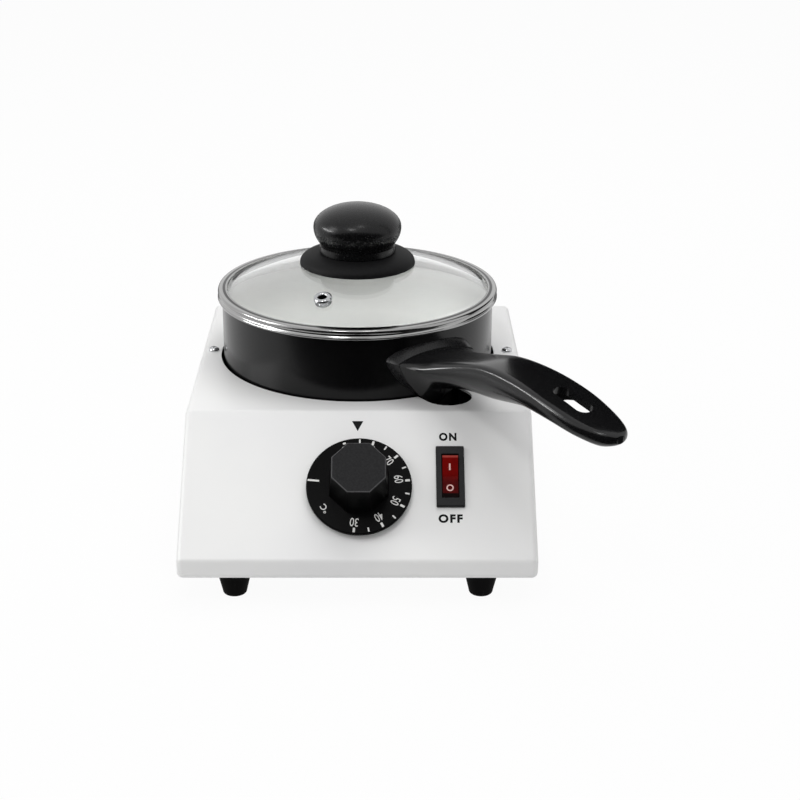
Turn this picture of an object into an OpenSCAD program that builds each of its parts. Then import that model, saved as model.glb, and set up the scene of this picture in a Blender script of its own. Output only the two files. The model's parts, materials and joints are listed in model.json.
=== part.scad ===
// Counter-top melting tank: painted cover on four feet, lift-out saucepan in a dry heated well,
// glass lid, thermostat dial and lit rocker switch on the sloping front panel.
// Millimetres. X to the right, Y to the back, Z up. The floor is Z = 0.

/* [Cover] */
// Width over the cover
body_w = 170; // [150:1:195]
// Height of the upright skirt under the sloping panel
skirt_h = 10; // [8:0.5:16]
// Level distance covered by the sloping panel
panel_run = 61; // [58:1:70]
// Height climbed by the sloping panel
panel_rise = 51; // [49:1:58]
// Deck left beside the pan opening
side_land = 12; // [11:0.5:16]
// Deck between the pan opening and the fold to the panel
front_land = 11.5; // [10:0.5:20]
// Deck behind the pan opening
back_land = 4.5; // [4.5:0.5:20]
// Pan axis to the left of the cover's centreline
pan_shift = 1.5; // [0:0.25:2]
// Cover sheet thickness
sheet_t = 1.2; // [0.8:0.1:1.4]
// Outside radius of the bends
bend_r = 3; // [2.5:0.5:3.5]
// Width of the flange turned in along the lower edge
turn_in = 10; // [9:0.5:13]
// Width of the round-ended notch for the handle root
notch_w = 24.8; // [24.4:0.2:27]
// End of the notch, out from the edge of the opening
notch_out = 19.2; // [16:0.2:20]
// Middle of the notch, round from the middle of the handle to the right
notch_turn = 2.7; // [2:0.1:2.8]
// Free depth under the deck in the notch
notch_depth = 9; // [6:0.5:14]

/* [Base and feet] */
// Base plate thickness
base_t = 1.2; // [1:0.1:2]
// Base plate set in from the cover's sides
base_inset = 6; // [5:0.5:7]
// Corner radius of the base plate
base_corner = 5; // [3:0.5:8]
// Foot height
foot_h = 12.8; // [11:0.2:20]
// Foot diameter at the top
foot_top_d = 17; // [15:0.5:22]
// Foot diameter at the floor
foot_low_d = 11.6; // [10:0.2:14]
// Rounding of the foot at the floor
foot_round = 1.2; // [0.6:0.1:2]
// Foot centre in from the cover's side
foot_side = 26; // [22:0.5:40]
// Foot centre behind the front face
foot_front = 14.5; // [13:0.5:30]
// Foot centre in front of the back face
foot_back = 22; // [18:0.5:40]
// Thread diameter of the foot studs
foot_stud_d = 4; // [3:0.5:5]
// Length of the foot studs inside the foot
foot_stud_in = 7.9; // [6:0.1:9]
// Length of the foot studs above the base plate
foot_stud_up = 6; // [5:0.5:8]
// Width over the flats of the foot nuts
foot_nut_af = 7; // [7:0.5:8]
// Height of the foot nuts
foot_nut_h = 3.2; // [2.5:0.1:4]
// Vent slot length
vent_l = 34; // [20:1:40]
// Vent slot width
vent_w = 3.5; // [2:0.5:5]
// Spacing of the vent slots
vent_pitch = 12; // [9:0.5:14]
// Vent slots in a row, on each side of the middle
vent_side = 3; // [1:1:4]
// Front row of vent slots behind the front face
vent_front = 59.5; // [50:0.5:65]
// Distance between the two rows of vent slots
vent_row = 52; // [46:1:58]
// Thread diameter of the base screws
base_screw_d = 3; // [2.5:0.5:3.5]
// Head diameter of the base screws
base_head_d = 5.4; // [5:0.1:6]
// Head height of the base screws
base_head_h = 1.8; // [1.4:0.1:2.2]
// Base screw in from the edge of the turned-in flange
base_screw_in = 2; // [2:0.1:3]
// End base screws in from the front and back faces
base_screw_end = 24; // [18:1:30]

/* [Heated well] */
// Deck surface to the well floor
well_depth = 28; // [24:0.5:30]
// Well wall behind the edge of the opening
well_gap = 0.2; // [0.1:0.05:0.5]
// Well wall thickness
well_t = 0.8; // [0.6:0.1:1]
// Well floor thickness
well_floor_t = 1.5; // [1:0.1:2]
// Inside corner radius at the well floor
well_corner = 6; // [3:0.5:8]
// Rim of the well outside its wall
well_flange = 10; // [9.5:0.5:11]
// Deck screw beyond the edge of the opening
screw_land = 5.7; // [5:0.1:6.2]
// Deck screw thread diameter
deck_screw_d = 3; // [2.5:0.25:3]
// Deck screw length under the deck
deck_screw_l = 6; // [5:0.5:10]
// Deck screw head diameter
deck_head_d = 5.6; // [5:0.1:6]
// Deck screw head height
deck_head_h = 2.2; // [1.6:0.1:2.6]
// Width over the flats of the deck nuts
deck_nut_af = 5.5; // [5:0.1:6]
// Height of the deck nuts
deck_nut_h = 2.4; // [2:0.1:3]
// Heater disc diameter
heater_d = 112; // [96:1:130]
// Heater disc thickness
heater_t = 3; // [2:0.5:4]
// Insulating pad thickness
pad_t = 6; // [4:0.5:8]
// Insulating pad set in from the heater's edge
pad_inset = 2; // [1:0.5:6]
// Clamp plate diameter
clamp_d = 104; // [90:1:110]
// Clamp plate thickness
clamp_t = 1.5; // [1:0.1:2]
// Diameter of the holes in the clamp plate
clamp_hole_d = 14; // [8:1:18]
// Ring radius of the holes in the clamp plate
clamp_hole_r = 31; // [24:0.5:34]
// Clamp stud thread diameter
clamp_stud_d = 5; // [4:0.5:6]
// Clamp stud length below the clamp plate
clamp_stud_l = 6; // [5:0.5:7]
// Width over the flats of the clamp nut
clamp_nut_af = 8; // [8:0.5:10]
// Height of the clamp nut
clamp_nut_h = 4; // [3:0.5:4.5]
// Sensor bulb diameter
bulb_d = 6; // [5:0.5:6.5]
// Sensor bulb length
bulb_l = 40; // [30:1:44]
// Sensor bulb below the deck
bulb_drop = 13; // [12:0.5:14]
// Thickness of the bulb clip
clip_t = 0.9; // [0.6:0.1:1.2]
// Width of the bulb clip
clip_w = 12; // [8:0.5:16]
// Length of the bulb clip's tabs
clip_tab = 3; // [2:0.5:4]
// Capillary tube diameter
capillary_d = 1.8; // [1.5:0.1:2.5]

/* [Pan] */
// Gap between the pan and the opening
hole_gap = 1.5; // [1:0.1:2.5]
// Pan height
pan_h = 60; // [54:0.5:66]
// Pan wall thickness
pan_wall = 2; // [1.5:0.1:2.4]
// Pan floor thickness
pan_floor = 3.5; // [2.5:0.1:5]
// Outside corner radius at the pan floor
pan_corner = 9; // [7:0.5:12]
// Rounding of the pan's rim
pan_edge = 0.5; // [0.3:0.05:0.7]
// Free height under the pan and under the lid rim
seat_gap = 0.1; // [0.05:0.01:0.2]

/* [Handle] */
// Direction of the handle, round from the front to the right
handle_az = 32.2; // [28:0.2:36]
// Swing of the grip's tip to the right, off the line of the root
handle_swing = 10.6; // [6:0.2:12]
// Length of the collar from the pan wall to the handle
collar_l = 3.5; // [3:0.1:5]
// Collar wrapped back round the pan wall at its sides
collar_wrap = 11.5; // [9:0.5:13]
// Joint gap between collar and handle
handle_gap = 0.1; // [0.05:0.01:0.2]
// Handle tip, out from the pan wall
handle_l = 132.5; // [118:0.5:150]
// Middle of the hanging slot, in from the tip
slot_end = 31; // [28:0.5:33]
// Hanging slot length
slot_l = 23; // [18:0.5:26]
// Hanging slot width
slot_w = 9.2; // [8.6:0.1:10]
// Slope of the handle's end at the slot
slot_tilt = 11; // [9:0.5:12]
// Thickness left round the slot
slot_floor = 3.2; // [3:0.1:4]
// Hollow round the slot on the underside, wider than the slot on each side
slot_relief = 7.6; // [5:0.2:7.8]
// Bracket width
bracket_w = 15; // [12:0.5:16]
// Bracket height
bracket_h = 8; // [7:0.2:8.6]
// Top of the bracket, down from the pan's rim
bracket_drop = 10; // [9.6:0.1:11]
// Bracket length from the pan wall
bracket_l = 22.5; // [20:0.5:24]
// Clearance round the bracket in the handle
bracket_play = 0.2; // [0.1:0.05:0.3]
// Handle screw, out from the pan wall
handle_screw_out = 14.5; // [13:0.5:16]
// Handle screw thread diameter
handle_screw_d = 4; // [3:0.5:5]
// Handle screw head diameter
handle_head_d = 7.5; // [7:0.5:9]
// Handle screw head height
handle_head_h = 2.4; // [2:0.1:3]
// Handle wall between the screw head and the bracket
screw_wall = 2.6; // [2.4:0.1:3.4]

/* [Lid] */
// Steel rim beyond the pan wall
lid_over = 2.3; // [2:0.1:3.5]
// Rim height under the glass
rim_under = 0.8; // [0.6:0.1:1.2]
// Rim height above the edge of the glass
rim_lip = 0.6; // [0.5:0.05:0.9]
// Rim steel outside the glass
rim_wall = 1.7; // [1.6:0.1:2]
// Rim steel over the edge of the glass
rim_lap = 2.9; // [2:0.1:4]
// Depth of the rim's ring inside the pan
rim_drop = 2.6; // [2:0.1:4]
// Thickness of that ring
ring_t = 0.7; // [0.5:0.1:1]
// Play between that ring and the pan
rim_play = 0.5; // [0.4:0.05:0.8]
// Glass thickness
glass_t = 3.8; // [3.5:0.1:4.4]
// Rise of the glass above its edge
dome_h = 15.5; // [13:0.5:18]
// Knob skirt diameter
skirt_d = 60.6; // [54:0.2:66]
// Knob skirt height at its edge
skirt_edge = 0.7; // [0.5:0.1:1]
// Knob skirt height from its edge to its top
skirt_rise = 6.4; // [5:0.1:8]
// Knob neck diameter
neck_d = 40; // [36:0.5:42]
// Knob neck height
neck_h = 4; // [3:0.1:6]
// Knob cap diameter
cap_d = 46; // [43:0.5:50]
// Knob cap, widest line to the top
cap_up = 11.8; // [9:0.1:14]
// Knob cap, neck to the widest line
cap_down = 9.4; // [8:0.1:11]
// Solid height over the knob's screw hole
cap_solid = 17.8; // [16:0.1:18.5]
// Knob screw thread diameter
knob_screw_d = 5; // [4:0.5:6]
// Knob screw head diameter
knob_head_d = 9.6; // [8:0.1:10]
// Knob screw head height
knob_head_h = 3; // [2.4:0.1:3.5]
// Washer diameter under the glass
washer_d = 16; // [13:0.5:20]
// Washer thickness
washer_t = 1.5; // [1:0.1:2]
// Middle of the vent eyelet, in from the lid's edge
vent_in = 24.8; // [22:0.2:30]
// Vent eyelet, round from the front to the left
vent_az = 20; // [0:1:60]
// Vent eyelet diameter
eyelet_d = 9.4; // [8.5:0.1:10]
// Vent eyelet height above the glass
eyelet_h = 1.7; // [1.2:0.1:2]
// Vent eyelet tube thickness
eyelet_t = 1; // [0.8:0.1:1.2]
// Vent opening diameter
vent_d = 3.8; // [3:0.1:4]

/* [Thermostat] */
// Dial axis right of the centreline
dial_x = 0.5; // [-2:0.5:3]
// Dial axis up the panel from its lower fold
dial_s = 37; // [34:0.5:40]
// Dial skirt diameter
dial_d = 50.5; // [46:0.5:54]
// Dial skirt above the panel
dial_gap = 2.2; // [2:0.1:3]
// Dial skirt thickness at its edge
dial_edge = 2.2; // [1.8:0.1:3]
// Rise of the dial skirt from its edge to the grip
dial_rise = 0.6; // [0.3:0.1:1]
// Wall of the dial skirt round its hollow underside
dial_wall = 2; // [1.5:0.1:3]
// Depth of the hollow under the dial skirt
dial_hollow = 0.8; // [0.5:0.1:1.2]
// Diameter of the dial's boss round the shaft
dial_boss_d = 12; // [10:0.5:14]
// Grip face above the panel
grip_top = 24.5; // [20:0.5:28]
// Grip width over the flats at its face
grip_af = 25.4; // [23:0.2:27]
// Grip width over the flats at its root
grip_low_af = 28.6; // [27:0.2:31]
// Bevel round the grip face
grip_bevel = 0.5; // [0.3:0.1:0.8]
// Solid height of the grip over the shaft
grip_roof = 7; // [5:0.5:9]
// Shaft diameter
shaft_d = 6; // [5:0.5:6]
// Depth of the flat on the shaft
shaft_flat = 1.2; // [0.8:0.1:1.5]
// Length of the shaft inside the thermostat
shaft_in = 12.6; // [10:0.1:13]
// Radial play of shafts and pivots
play = 0.05; // [0.03:0.01:0.08]
// Thermostat case width
case_w = 36; // [34:1:42]
// Thermostat case length along the panel's slope
case_l = 34; // [30:1:36]
// Thermostat case depth behind its plate
case_h = 15; // [14:1:18]
// Thermostat plate thickness
stat_plate_t = 1.2; // [1:0.1:1.6]
// Thermostat plate width
stat_plate_w = 18; // [14:1:22]
// Thermostat plate beyond its screws
stat_plate_end = 8; // [6:0.5:10]
// Spacing of the thermostat screws
stat_pitch = 28; // [26:1:30]
// Thermostat screw thread diameter
stat_screw_d = 4; // [3:0.5:4]
// Thermostat screw length behind the panel
stat_screw_l = 5.5; // [4:0.5:6.5]
// Thermostat screw head diameter
stat_head_d = 7; // [6:0.5:7.5]
// Thermostat screw head height
stat_head_h = 1.8; // [1.4:0.1:2]
// Spacing of the thermostat's tabs
stat_tab_pitch = 18; // [14:1:22]
// Tabs of the thermostat above the back of its case
stat_tab_up = 5; // [3:0.5:8]

/* [Switch] */
// Switch axis right of the centreline
switch_x = 44.2; // [42:0.2:56]
// Switch axis up the panel from its lower fold
switch_s = 43.4; // [38:0.2:46]
// Switch body width through the panel
switch_w = 11.4; // [11:0.1:13]
// Switch body length through the panel
switch_l = 28.4; // [28:0.1:31]
// Switch body depth behind the panel face
switch_depth = 17; // [15:0.5:19]
// Bezel beyond the sides of the switch body
bezel_side = 1.1; // [1:0.1:2]
// Bezel beyond the ends of the switch body
bezel_end = 1.8; // [1.2:0.1:2.5]
// Bezel height above the panel
bezel_h = 2; // [1.5:0.1:2.5]
// Step round the top of the bezel
bezel_step = 0.6; // [0.4:0.1:0.8]
// Frame beside the rocker
frame_side = 1.5; // [1.3:0.1:2]
// Frame at the ends of the rocker
frame_end = 2.5; // [2:0.1:3]
// Depth of the rocker opening
opening_depth = 10.5; // [9:0.5:11]
// Clearance round the rocker
rocker_play = 0.3; // [0.25:0.01:0.4]
// Swing of the rocker between off and on
rocker_swing = 20; // [16:1:22]
// Rocker pivot diameter
pivot_d = 2.4; // [2:0.1:2.6]
// Rocker pivot below the panel face
pivot_drop = 1.6; // [1.2:0.1:2]
// Length of the rocker pivot in the frame
pivot_in = 0.9; // [0.6:0.1:1]
// Edge between the rocker's two faces, above the panel face
rocker_up = 0.9; // [0.6:0.1:1.2]
// Rocker thickness under that edge
rocker_t = 4.3; // [4:0.1:5]
// Wall of the rocker round its hollow
rocker_wall = 1.2; // [1:0.1:1.5]
// Spacing of the switch's blades
blade_pitch = 9; // [8:0.5:10]
// Blade width
blade_w = 4.8; // [4:0.1:6.3]
// Blade thickness
blade_t = 0.8; // [0.5:0.1:1]
// Blade length outside the switch and inside the blade's slot
blade_l = [8, 3.8];
// Eye in the blades and tabs
eye_d = 1.6; // [1.2:0.1:2]

/* [Mains inlet] */
// Gland right of the centreline
gland_x = 48; // [40:1:55]
// Gland axis above the lower edge of the cover
gland_up = 16; // [14:0.5:18]
// Gland thread diameter
gland_d = 12; // [11:0.5:13]
// Gland bore for the lead
gland_bore = 7.2; // [6:0.1:8]
// Gland length outside the cover
gland_out = 14; // [12:0.5:18]
// Gland thread length inside the cover
gland_in = 8; // [7:0.5:10]
// Height of the gland's hexagon
gland_hex_h = 4; // [3:0.5:5]
// Gland cap wider than the thread on each side
gland_cap = 2.4; // [1.5:0.1:3]
// Terminal block length
block_l = 32; // [28:1:36]
// Terminal block width
block_w = 16; // [14:0.5:18]
// Terminal block height
block_h = 12; // [10:0.5:13]
// Spacing of the terminals
block_pitch = 10; // [9:0.5:11]
// Wire hole of a terminal
block_bore = 4; // [3.6:0.1:4.5]
// Screw hole of a terminal
block_screw_d = 4.2; // [4:0.1:4.5]
// Screws of a terminal off the block's middle
block_screw_y = 4.5; // [4:0.1:5]
// Terminal block in front of the back face
block_back = 39.5; // [36:0.5:50]
// Terminal block left of the gland
block_left = 12; // [8:1:16]
// Diameter of the block's pegs in the base plate
peg_d = 4; // [3:0.5:5]
// Earth stud in from the cover's side
earth_side = 23; // [20:0.5:28]
// Earth stud in front of the back face
earth_back = 65.5; // [60:0.5:75]
// Earth stud thread diameter
earth_d = 4; // [3:0.5:5]
// Width over the flats of the earth nut
earth_af = 7; // [6:0.5:8]
// Wire diameter
wire_d = 2.2; // [1.8:0.1:2.4]

/* [Hidden] */
// Clearance of screws in their holes, and overshoot of cuts
fit = 0.05;
over = 1;
hex = 2 / sqrt(3);

// Levels
skirt_z = foot_h + base_t;
panel_z = skirt_z + skirt_h;
deck_z = panel_z + panel_rise;
deck_low = deck_z - sheet_t;
flange_low = deck_low - well_t;
well_z = deck_z - well_depth;
well_low = well_z - well_floor_t;
heater_z = well_low - heater_t;
pad_z = heater_z - pad_t;
clamp_z = pad_z - clamp_t;
pan_z = well_z + seat_gap;
deck_up = deck_z - pan_z;
rim_z = pan_z + pan_h + seat_gap;
gland_z = skirt_z + gland_up;

// Plan
hole_r = body_w / 2 - side_land;
well_r = hole_r + well_gap;
well_out = well_r + well_t;
pan_r = hole_r - hole_gap;
pan_x = -pan_shift;
fold_y = -hole_r - front_land;
front_y = fold_y - panel_run;
back_y = hole_r + back_land;
mid_y = (front_y + back_y) / 2;
cover_d = back_y - front_y;
slope = atan2(panel_rise, panel_run);

// Lid
lid_r = pan_r + lid_over;
vent_r = lid_r - vent_in;
rim_h = rim_under + glass_t + rim_lip;
glass_edge_z = rim_z + rim_under + glass_t;
glass_edge_r = lid_r - rim_wall;
dome_edge = glass_edge_r - rim_lap;
dome_r = (pow(dome_edge, 2) + pow(dome_h, 2)) / (2 * dome_h);
dome_c = glass_edge_z + dome_h - dome_r;
function dome_z(r, drop = 0) = dome_c + sqrt(pow(dome_r - drop, 2) - r * r);
glass_low_r = sqrt(pow(dome_r - glass_t, 2) - pow(glass_edge_z - glass_t - dome_c, 2));
skirt_low = dome_z(skirt_d / 2) + seat_gap;
skirt_top = skirt_low + skirt_rise;
neck_z = skirt_top + fit;
cap_z = neck_z + neck_h + cap_down;
cap_floor = cap_z + cap_up - cap_solid;
washer_z = dome_z(washer_d / 2, glass_t) - seat_gap - washer_t;
screw_tip = cap_floor - over;

// Controls, heights measured square to the panel
stat_front = -sheet_t - stat_plate_t;
stat_back = stat_front - case_h;
shaft_up = grip_top - grip_roof;
opening_w = switch_w - 2 * frame_side;
opening_l = switch_l - 2 * frame_end;
rocker_w = opening_w - 2 * rocker_play;
rocker_r = opening_l / 2 - rocker_play;
blade_tip = -switch_depth - blade_l[0];

// Screws and feet in plan
deck_screw_x = hole_r + screw_land;
base_screw_x = body_w / 2 - turn_in + base_screw_in;
base_screw_rows = [front_y + base_screw_end, mid_y, back_y - base_screw_end];
deck_screws_at = [[-deck_screw_x, 0], [deck_screw_x, 0]];
base_screws_at = [for (x = [-base_screw_x, base_screw_x], y = base_screw_rows) [x, y]];
foot_x = body_w / 2 - foot_side;
feet_at = [for (y = [front_y + foot_front, back_y - foot_back], x = [-foot_x, foot_x]) [x, y]];
stat_screws_x = [-stat_pitch / 2, stat_pitch / 2];
block_at = [gland_x - block_left, back_y - block_back];
block_rows = [-block_pitch, 0, block_pitch];
peg_rows = [-block_pitch / 2, block_pitch / 2];
earth_at = [body_w / 2 - earth_side, back_y - earth_back];

// Handle stations: share of the length, top, widest level, underside, half width, half width of
// the top face, squareness of the shoulders, squareness of the keel. Tops go by the pan's rim and
// the underside of the root goes by the deck, all above the pan's seat
handle_rows = [
    [0, pan_h - 8.2, pan_h - 12, deck_up - 5.4, 22, 6, 1.5, 1.3],
    [0.077, pan_h - 7.6, pan_h - 12.8, deck_up + 5.2, 18.4, 8, 1.8, 1.35],
    [0.17, pan_h - 5.4, pan_h - 11, pan_h - 21.8, 15.6, 9, 2.4, 1.5],
    [0.271, pan_h - 2, pan_h - 8, pan_h - 19.8, 14, 8.8, 2.8, 1.6],
    [0.379, pan_h + 0.8, pan_h - 5.4, pan_h - 18.6, 13.5, 9.2, 3.2, 1.7],
    [0.503, pan_h + 1.4, pan_h - 5.2, pan_h - 15.4, 13.8, 9.8, 3.2, 1.9],
    [0.628, pan_h + 0.2, pan_h - 6.6, pan_h - 12, 14.2, 10.4, 3.2, 2.1],
    [0.752, pan_h - 2.6, pan_h - 8.3, pan_h - 12.2, 14.2, 10.6, 3, 2.3],
    [0.86, pan_h - 5.8, pan_h - 10.2, pan_h - 15.2, 12.6, 9.4, 2.6, 2.3],
    [0.938, pan_h - 7.8, pan_h - 11, pan_h - 17, 9.6, 7.2, 2.2, 2.2],
    [0.98, pan_h - 9.2, pan_h - 11.8, pan_h - 15.6, 6.6, 4.8, 2, 2.2],
    [1, pan_h - 10.4, pan_h - 12.2, pan_h - 14, 2.6, 1.6, 2, 2]
];
collar_rows = [
    [0, pan_h - 1.4, pan_h - 11.5, deck_up - 1, 25.6, 7, 1.8, 1.6],
    [0.6, pan_h - 3.2, pan_h - 11.8, deck_up - 3.2, 24.6, 6, 1.5, 1.45],
    [1, pan_h - 7.6, pan_h - 11.9, deck_up - 4.8, 22.5, 6, 1.5, 1.32]
];
crown = 0.3;
collar_start = pan_r - collar_wrap;
collar_end = pan_r + collar_l;
handle_start = collar_end + handle_gap;
handle_tip = pan_r + handle_l;
slot_mid = handle_tip - slot_end;
slot_share = (slot_mid - handle_start) / (handle_tip - handle_start);
slot_turn = atan(handle_swing / (handle_tip - handle_start));
slot_top = pan_z + pan_h - 3.2;
bracket_low = pan_z + pan_h - bracket_drop - bracket_h;
screw_seat = bracket_low - bracket_play - screw_wall;
handle_screw_r = pan_r + handle_screw_out;

// Ring of one station between two distances from the pan axis, set aside by its share of the swing
function station(row, from, to, swing = 0) = let (w = row[4], f = row[5], y = swing * row[0])
    let (x = from + (to - from) * row[0]) concat(
    [for (i = [0:16]) let (a = 180 + i * 11.25, c = pow(abs(cos(a)), 2 / row[7]))
        [x, y + w * c * (cos(a) < 0 ? -1 : 1),
         pan_z + row[2] - (row[2] - row[3]) * pow(abs(sin(a)), 2 / row[7])]],
    [for (i = [1:5]) [x, y + f + (w - f) * pow(cos(i * 18), 2 / row[6]),
         pan_z + row[2] + (row[1] - row[2]) * pow(sin(i * 18), 2 / row[6])]],
    [[x, y, pan_z + row[1] + crown]],
    [for (i = [5:-1:1]) [x, y - f - (w - f) * pow(cos(i * 18), 2 / row[6]),
         pan_z + row[2] + (row[1] - row[2]) * pow(sin(i * 18), 2 / row[6])]]);

// Smooth rows between the given ones
function smooth(rows, n) = concat([for (i = [0:len(rows) - 2], k = [0:n - 1])
    let (a = rows[max(i - 1, 0)], b = rows[i], c = rows[i + 1], t = k / n)
    let (d = rows[min(i + 2, len(rows) - 1)])
    0.5 * (2 * b + (c - a) * t + (2 * a - 5 * b + 4 * c - d) * t * t
        + (3 * b - a - 3 * c + d) * t * t * t)], [rows[len(rows) - 1]]);

handle_rings = [for (row = smooth(handle_rows, 4)) station(row, handle_start, handle_tip, handle_swing)];
collar_rings = [for (row = smooth(collar_rows, 3)) station(row, collar_start, collar_end)];

// The model's origin is the middle of its outline on the floor
function out_x(p) = pan_x + p[0] * sin(handle_az) + p[1] * cos(handle_az);
function out_y(p) = -p[0] * cos(handle_az) + p[1] * sin(handle_az);
reach_x = max([for (ring = handle_rings, p = ring) out_x(p)]);
reach_y = min([for (ring = handle_rings, p = ring) out_y(p)]);
shift = [(body_w / 2 - reach_x) / 2, -(reach_y + back_y + gland_out) / 2, 0];

function arc(x, y, r, a, b, n = 8) = [for (i = [0:n]) let (t = a + (b - a) * i / n)
    [x + r * cos(t), y + r * sin(t)]];
function bow(x, y, rx, ry, a, b, n = 12) = [for (i = [0:n]) let (t = a + (b - a) * i / n)
    [x + rx * cos(t), y + ry * sin(t)]];
function dome_arc(drop, a, b, n) = [for (i = [0:n]) let (t = a + (b - a) * i / n) [t, dome_z(t, drop)]];
function round_box(w, d, r) = concat(arc(w / 2 - r, d / 2 - r, r, 0, 90),
    arc(r - w / 2, d / 2 - r, r, 90, 180), arc(r - w / 2, r - d / 2, r, 180, 270),
    arc(w / 2 - r, r - d / 2, r, 270, 360));
function stadium(l, w) = concat(arc(l / 2 - w / 2, 0, w / 2, -90, 90, 12),
    arc(w / 2 - l / 2, 0, w / 2, 90, 270, 12));
function panel_point(x, s, h) = [x, front_y + s * cos(slope) - h * sin(slope),
    panel_z + s * sin(slope) + h * cos(slope)];

module place() translate(shift) children();
module at_pan() translate([pan_x, 0, 0]) children();
module at_handle() translate([pan_x, 0, 0]) rotate([0, 0, handle_az - 90]) children();
module on_panel(x, s) translate([0, front_y, panel_z]) rotate([slope, 0, 0])
    translate([x, s, 0]) children();
module at_vent() translate([pan_x, 0, dome_c]) rotate([0, 0, -vent_az])
    rotate([asin(vent_r / dome_r), 0, 0]) children();
module at_gland() translate([gland_x, back_y, gland_z]) rotate([-90, 0, 0]) children();

// Round hole from one level to another, and a flat-sided nut round a thread
module drill(x, y, d, from, to, sides = 48) translate([x, y, from - over])
    cylinder(d = d, h = to - from + 2 * over, $fn = sides);
module nut(af, h, d) difference() {
    cylinder(d = af * hex, h = h, $fn = 6);
    drill(0, 0, d + 2 * fit, 0, h);
}

// Screw with its domed head on the origin's level, its cross, and its shank below
module dome_head(d, h) rotate_extrude($fn = 48)
    polygon(concat([[0, 0], [d / 2, 0]], bow(0, h / 4, d / 2, h * 3 / 4, 0, 90, 8)));
module cross_cut(d, depth) for (a = [0, 90]) rotate([0, 0, a])
    translate([-d / 4, -d / 18, -depth]) cube([d / 2, d / 9, depth + over]);
module screw(head_d, head_h, d, l) {
    difference() {
        dome_head(head_d, head_h);
        translate([0, 0, head_h]) cross_cut(head_d, head_h / 2);
    }
    translate([0, 0, -l]) cylinder(d = d, h = l + head_h / 4, $fn = 32);
}

module loft(rings) {
    n = len(rings[0]);
    m = len(rings);
    polyhedron(points = [for (ring = rings, p = ring) p],
        faces = concat([[for (i = [0:n - 1]) i]],
            [for (j = [0:m - 2], i = [0:n - 1]) [j * n + i, (j + 1) * n + i,
                (j + 1) * n + (i + 1) % n, j * n + (i + 1) % n]],
            [[for (i = [n - 1:-1:0]) (m - 1) * n + i]]), convexity = 4);
}

// Rings of a rod along a line, each carrying on from the one before without twist
function rod_rings(line, r, up, j = 0) = j == len(line) ? [] :
    let (t = line[min(j + 1, len(line) - 1)] - line[max(j - 1, 0)], u = t / norm(t), s = cross(up, u))
    let (side = s / norm(s), next = cross(u, side))
    concat([[for (i = [0:7]) line[j] + r * (cos(i * 45) * side + sin(i * 45) * next)]],
        rod_rings(line, r, next, j + 1));

// Round rod along a smooth path; up is any direction across its start
module rod(path, d, up = [0, 0, 1]) loft(rod_rings(smooth(path, 6), d / 2, up));

// Ball with corners where the level, sloping and upright faces touch it
module ball(r) rotate_extrude($fn = 24) polygon(concat(arc(0, 0, r, -90, 0, 6),
    arc(0, 0, r, 0, 90 - slope, 4), arc(0, 0, r, 90 - slope, 90, 3)));

module cover_form(r) hull() {
    back = back_y - bend_r;
    front = front_y + bend_r;
    fold_low = panel_z - bend_r * cos(slope) + bend_r * (1 - sin(slope)) * tan(slope);
    fold_back = fold_y + bend_r * tan(slope / 2);
    for (x = [bend_r - body_w / 2, body_w / 2 - bend_r]) {
        translate([x, front, skirt_z + bend_r]) ball(r);
        translate([x, back, skirt_z + bend_r]) ball(r);
        translate([x, back, deck_z - bend_r]) ball(r);
        translate([x, front, fold_low]) ball(r);
        translate([x, fold_back, deck_z - bend_r]) ball(r);
    }
}

// Notch from inside the opening to its round end, down from the deck
module notch_cut(extra, depth) at_handle() rotate([0, 0, notch_turn])
    translate([hole_r + notch_out / 2 - notch_w, 0, deck_z - depth - over]) linear_extrude(depth + 2 * over)
        polygon(stadium(notch_out + 2 * notch_w + 2 * extra, notch_w + 2 * extra));

module housing_cover() color("WhiteSmoke") difference() {
    cover_form(bend_r);
    cover_form(bend_r - sheet_t);
    translate([turn_in - body_w / 2, front_y + turn_in, skirt_z - over])
        cube([body_w - 2 * turn_in, cover_d - 2 * turn_in, sheet_t + 2 * over]);
    at_pan() drill(0, 0, 2 * hole_r, deck_low, deck_z, 128);
    notch_cut(0, sheet_t);
    for (p = deck_screws_at) drill(p[0], p[1], deck_screw_d + 2 * fit, deck_low, deck_z);
    on_panel(dial_x, dial_s) {
        drill(0, 0, shaft_d + stat_head_h, -sheet_t, 0);
        for (x = stat_screws_x) drill(x, 0, stat_screw_d + 2 * fit, -sheet_t, 0);
    }
    on_panel(switch_x, switch_s) translate([-switch_w / 2 - fit, -switch_l / 2 - fit, -sheet_t - over])
        cube([switch_w + 2 * fit, switch_l + 2 * fit, sheet_t + 2 * over]);
    at_gland() drill(0, 0, gland_d + 2 * fit, -sheet_t, 0);
    for (p = base_screws_at) drill(p[0], p[1], base_screw_d + 2 * fit, skirt_z, skirt_z + sheet_t);
}

module base_plate() color("Silver") difference() {
    translate([0, mid_y, foot_h]) linear_extrude(base_t)
        polygon(round_box(body_w - 2 * base_inset, cover_d - 2 * base_inset, base_corner));
    for (p = base_screws_at) drill(p[0], p[1], base_screw_d + 2 * fit, foot_h, skirt_z);
    for (p = feet_at) drill(p[0], p[1], foot_stud_d + 2 * fit, foot_h, skirt_z);
    for (i = [-vent_side:vent_side], row = [0, 1])
        translate([i * vent_pitch, front_y + vent_front + row * vent_row, foot_h - over])
            rotate([0, 0, 90]) linear_extrude(base_t + 2 * over) polygon(stadium(vent_l, vent_w));
    for (x = peg_rows) drill(block_at[0] + x, block_at[1], peg_d + 2 * fit, foot_h, skirt_z);
    drill(earth_at[0], earth_at[1], earth_d + 2 * fit, foot_h, skirt_z);
}

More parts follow.
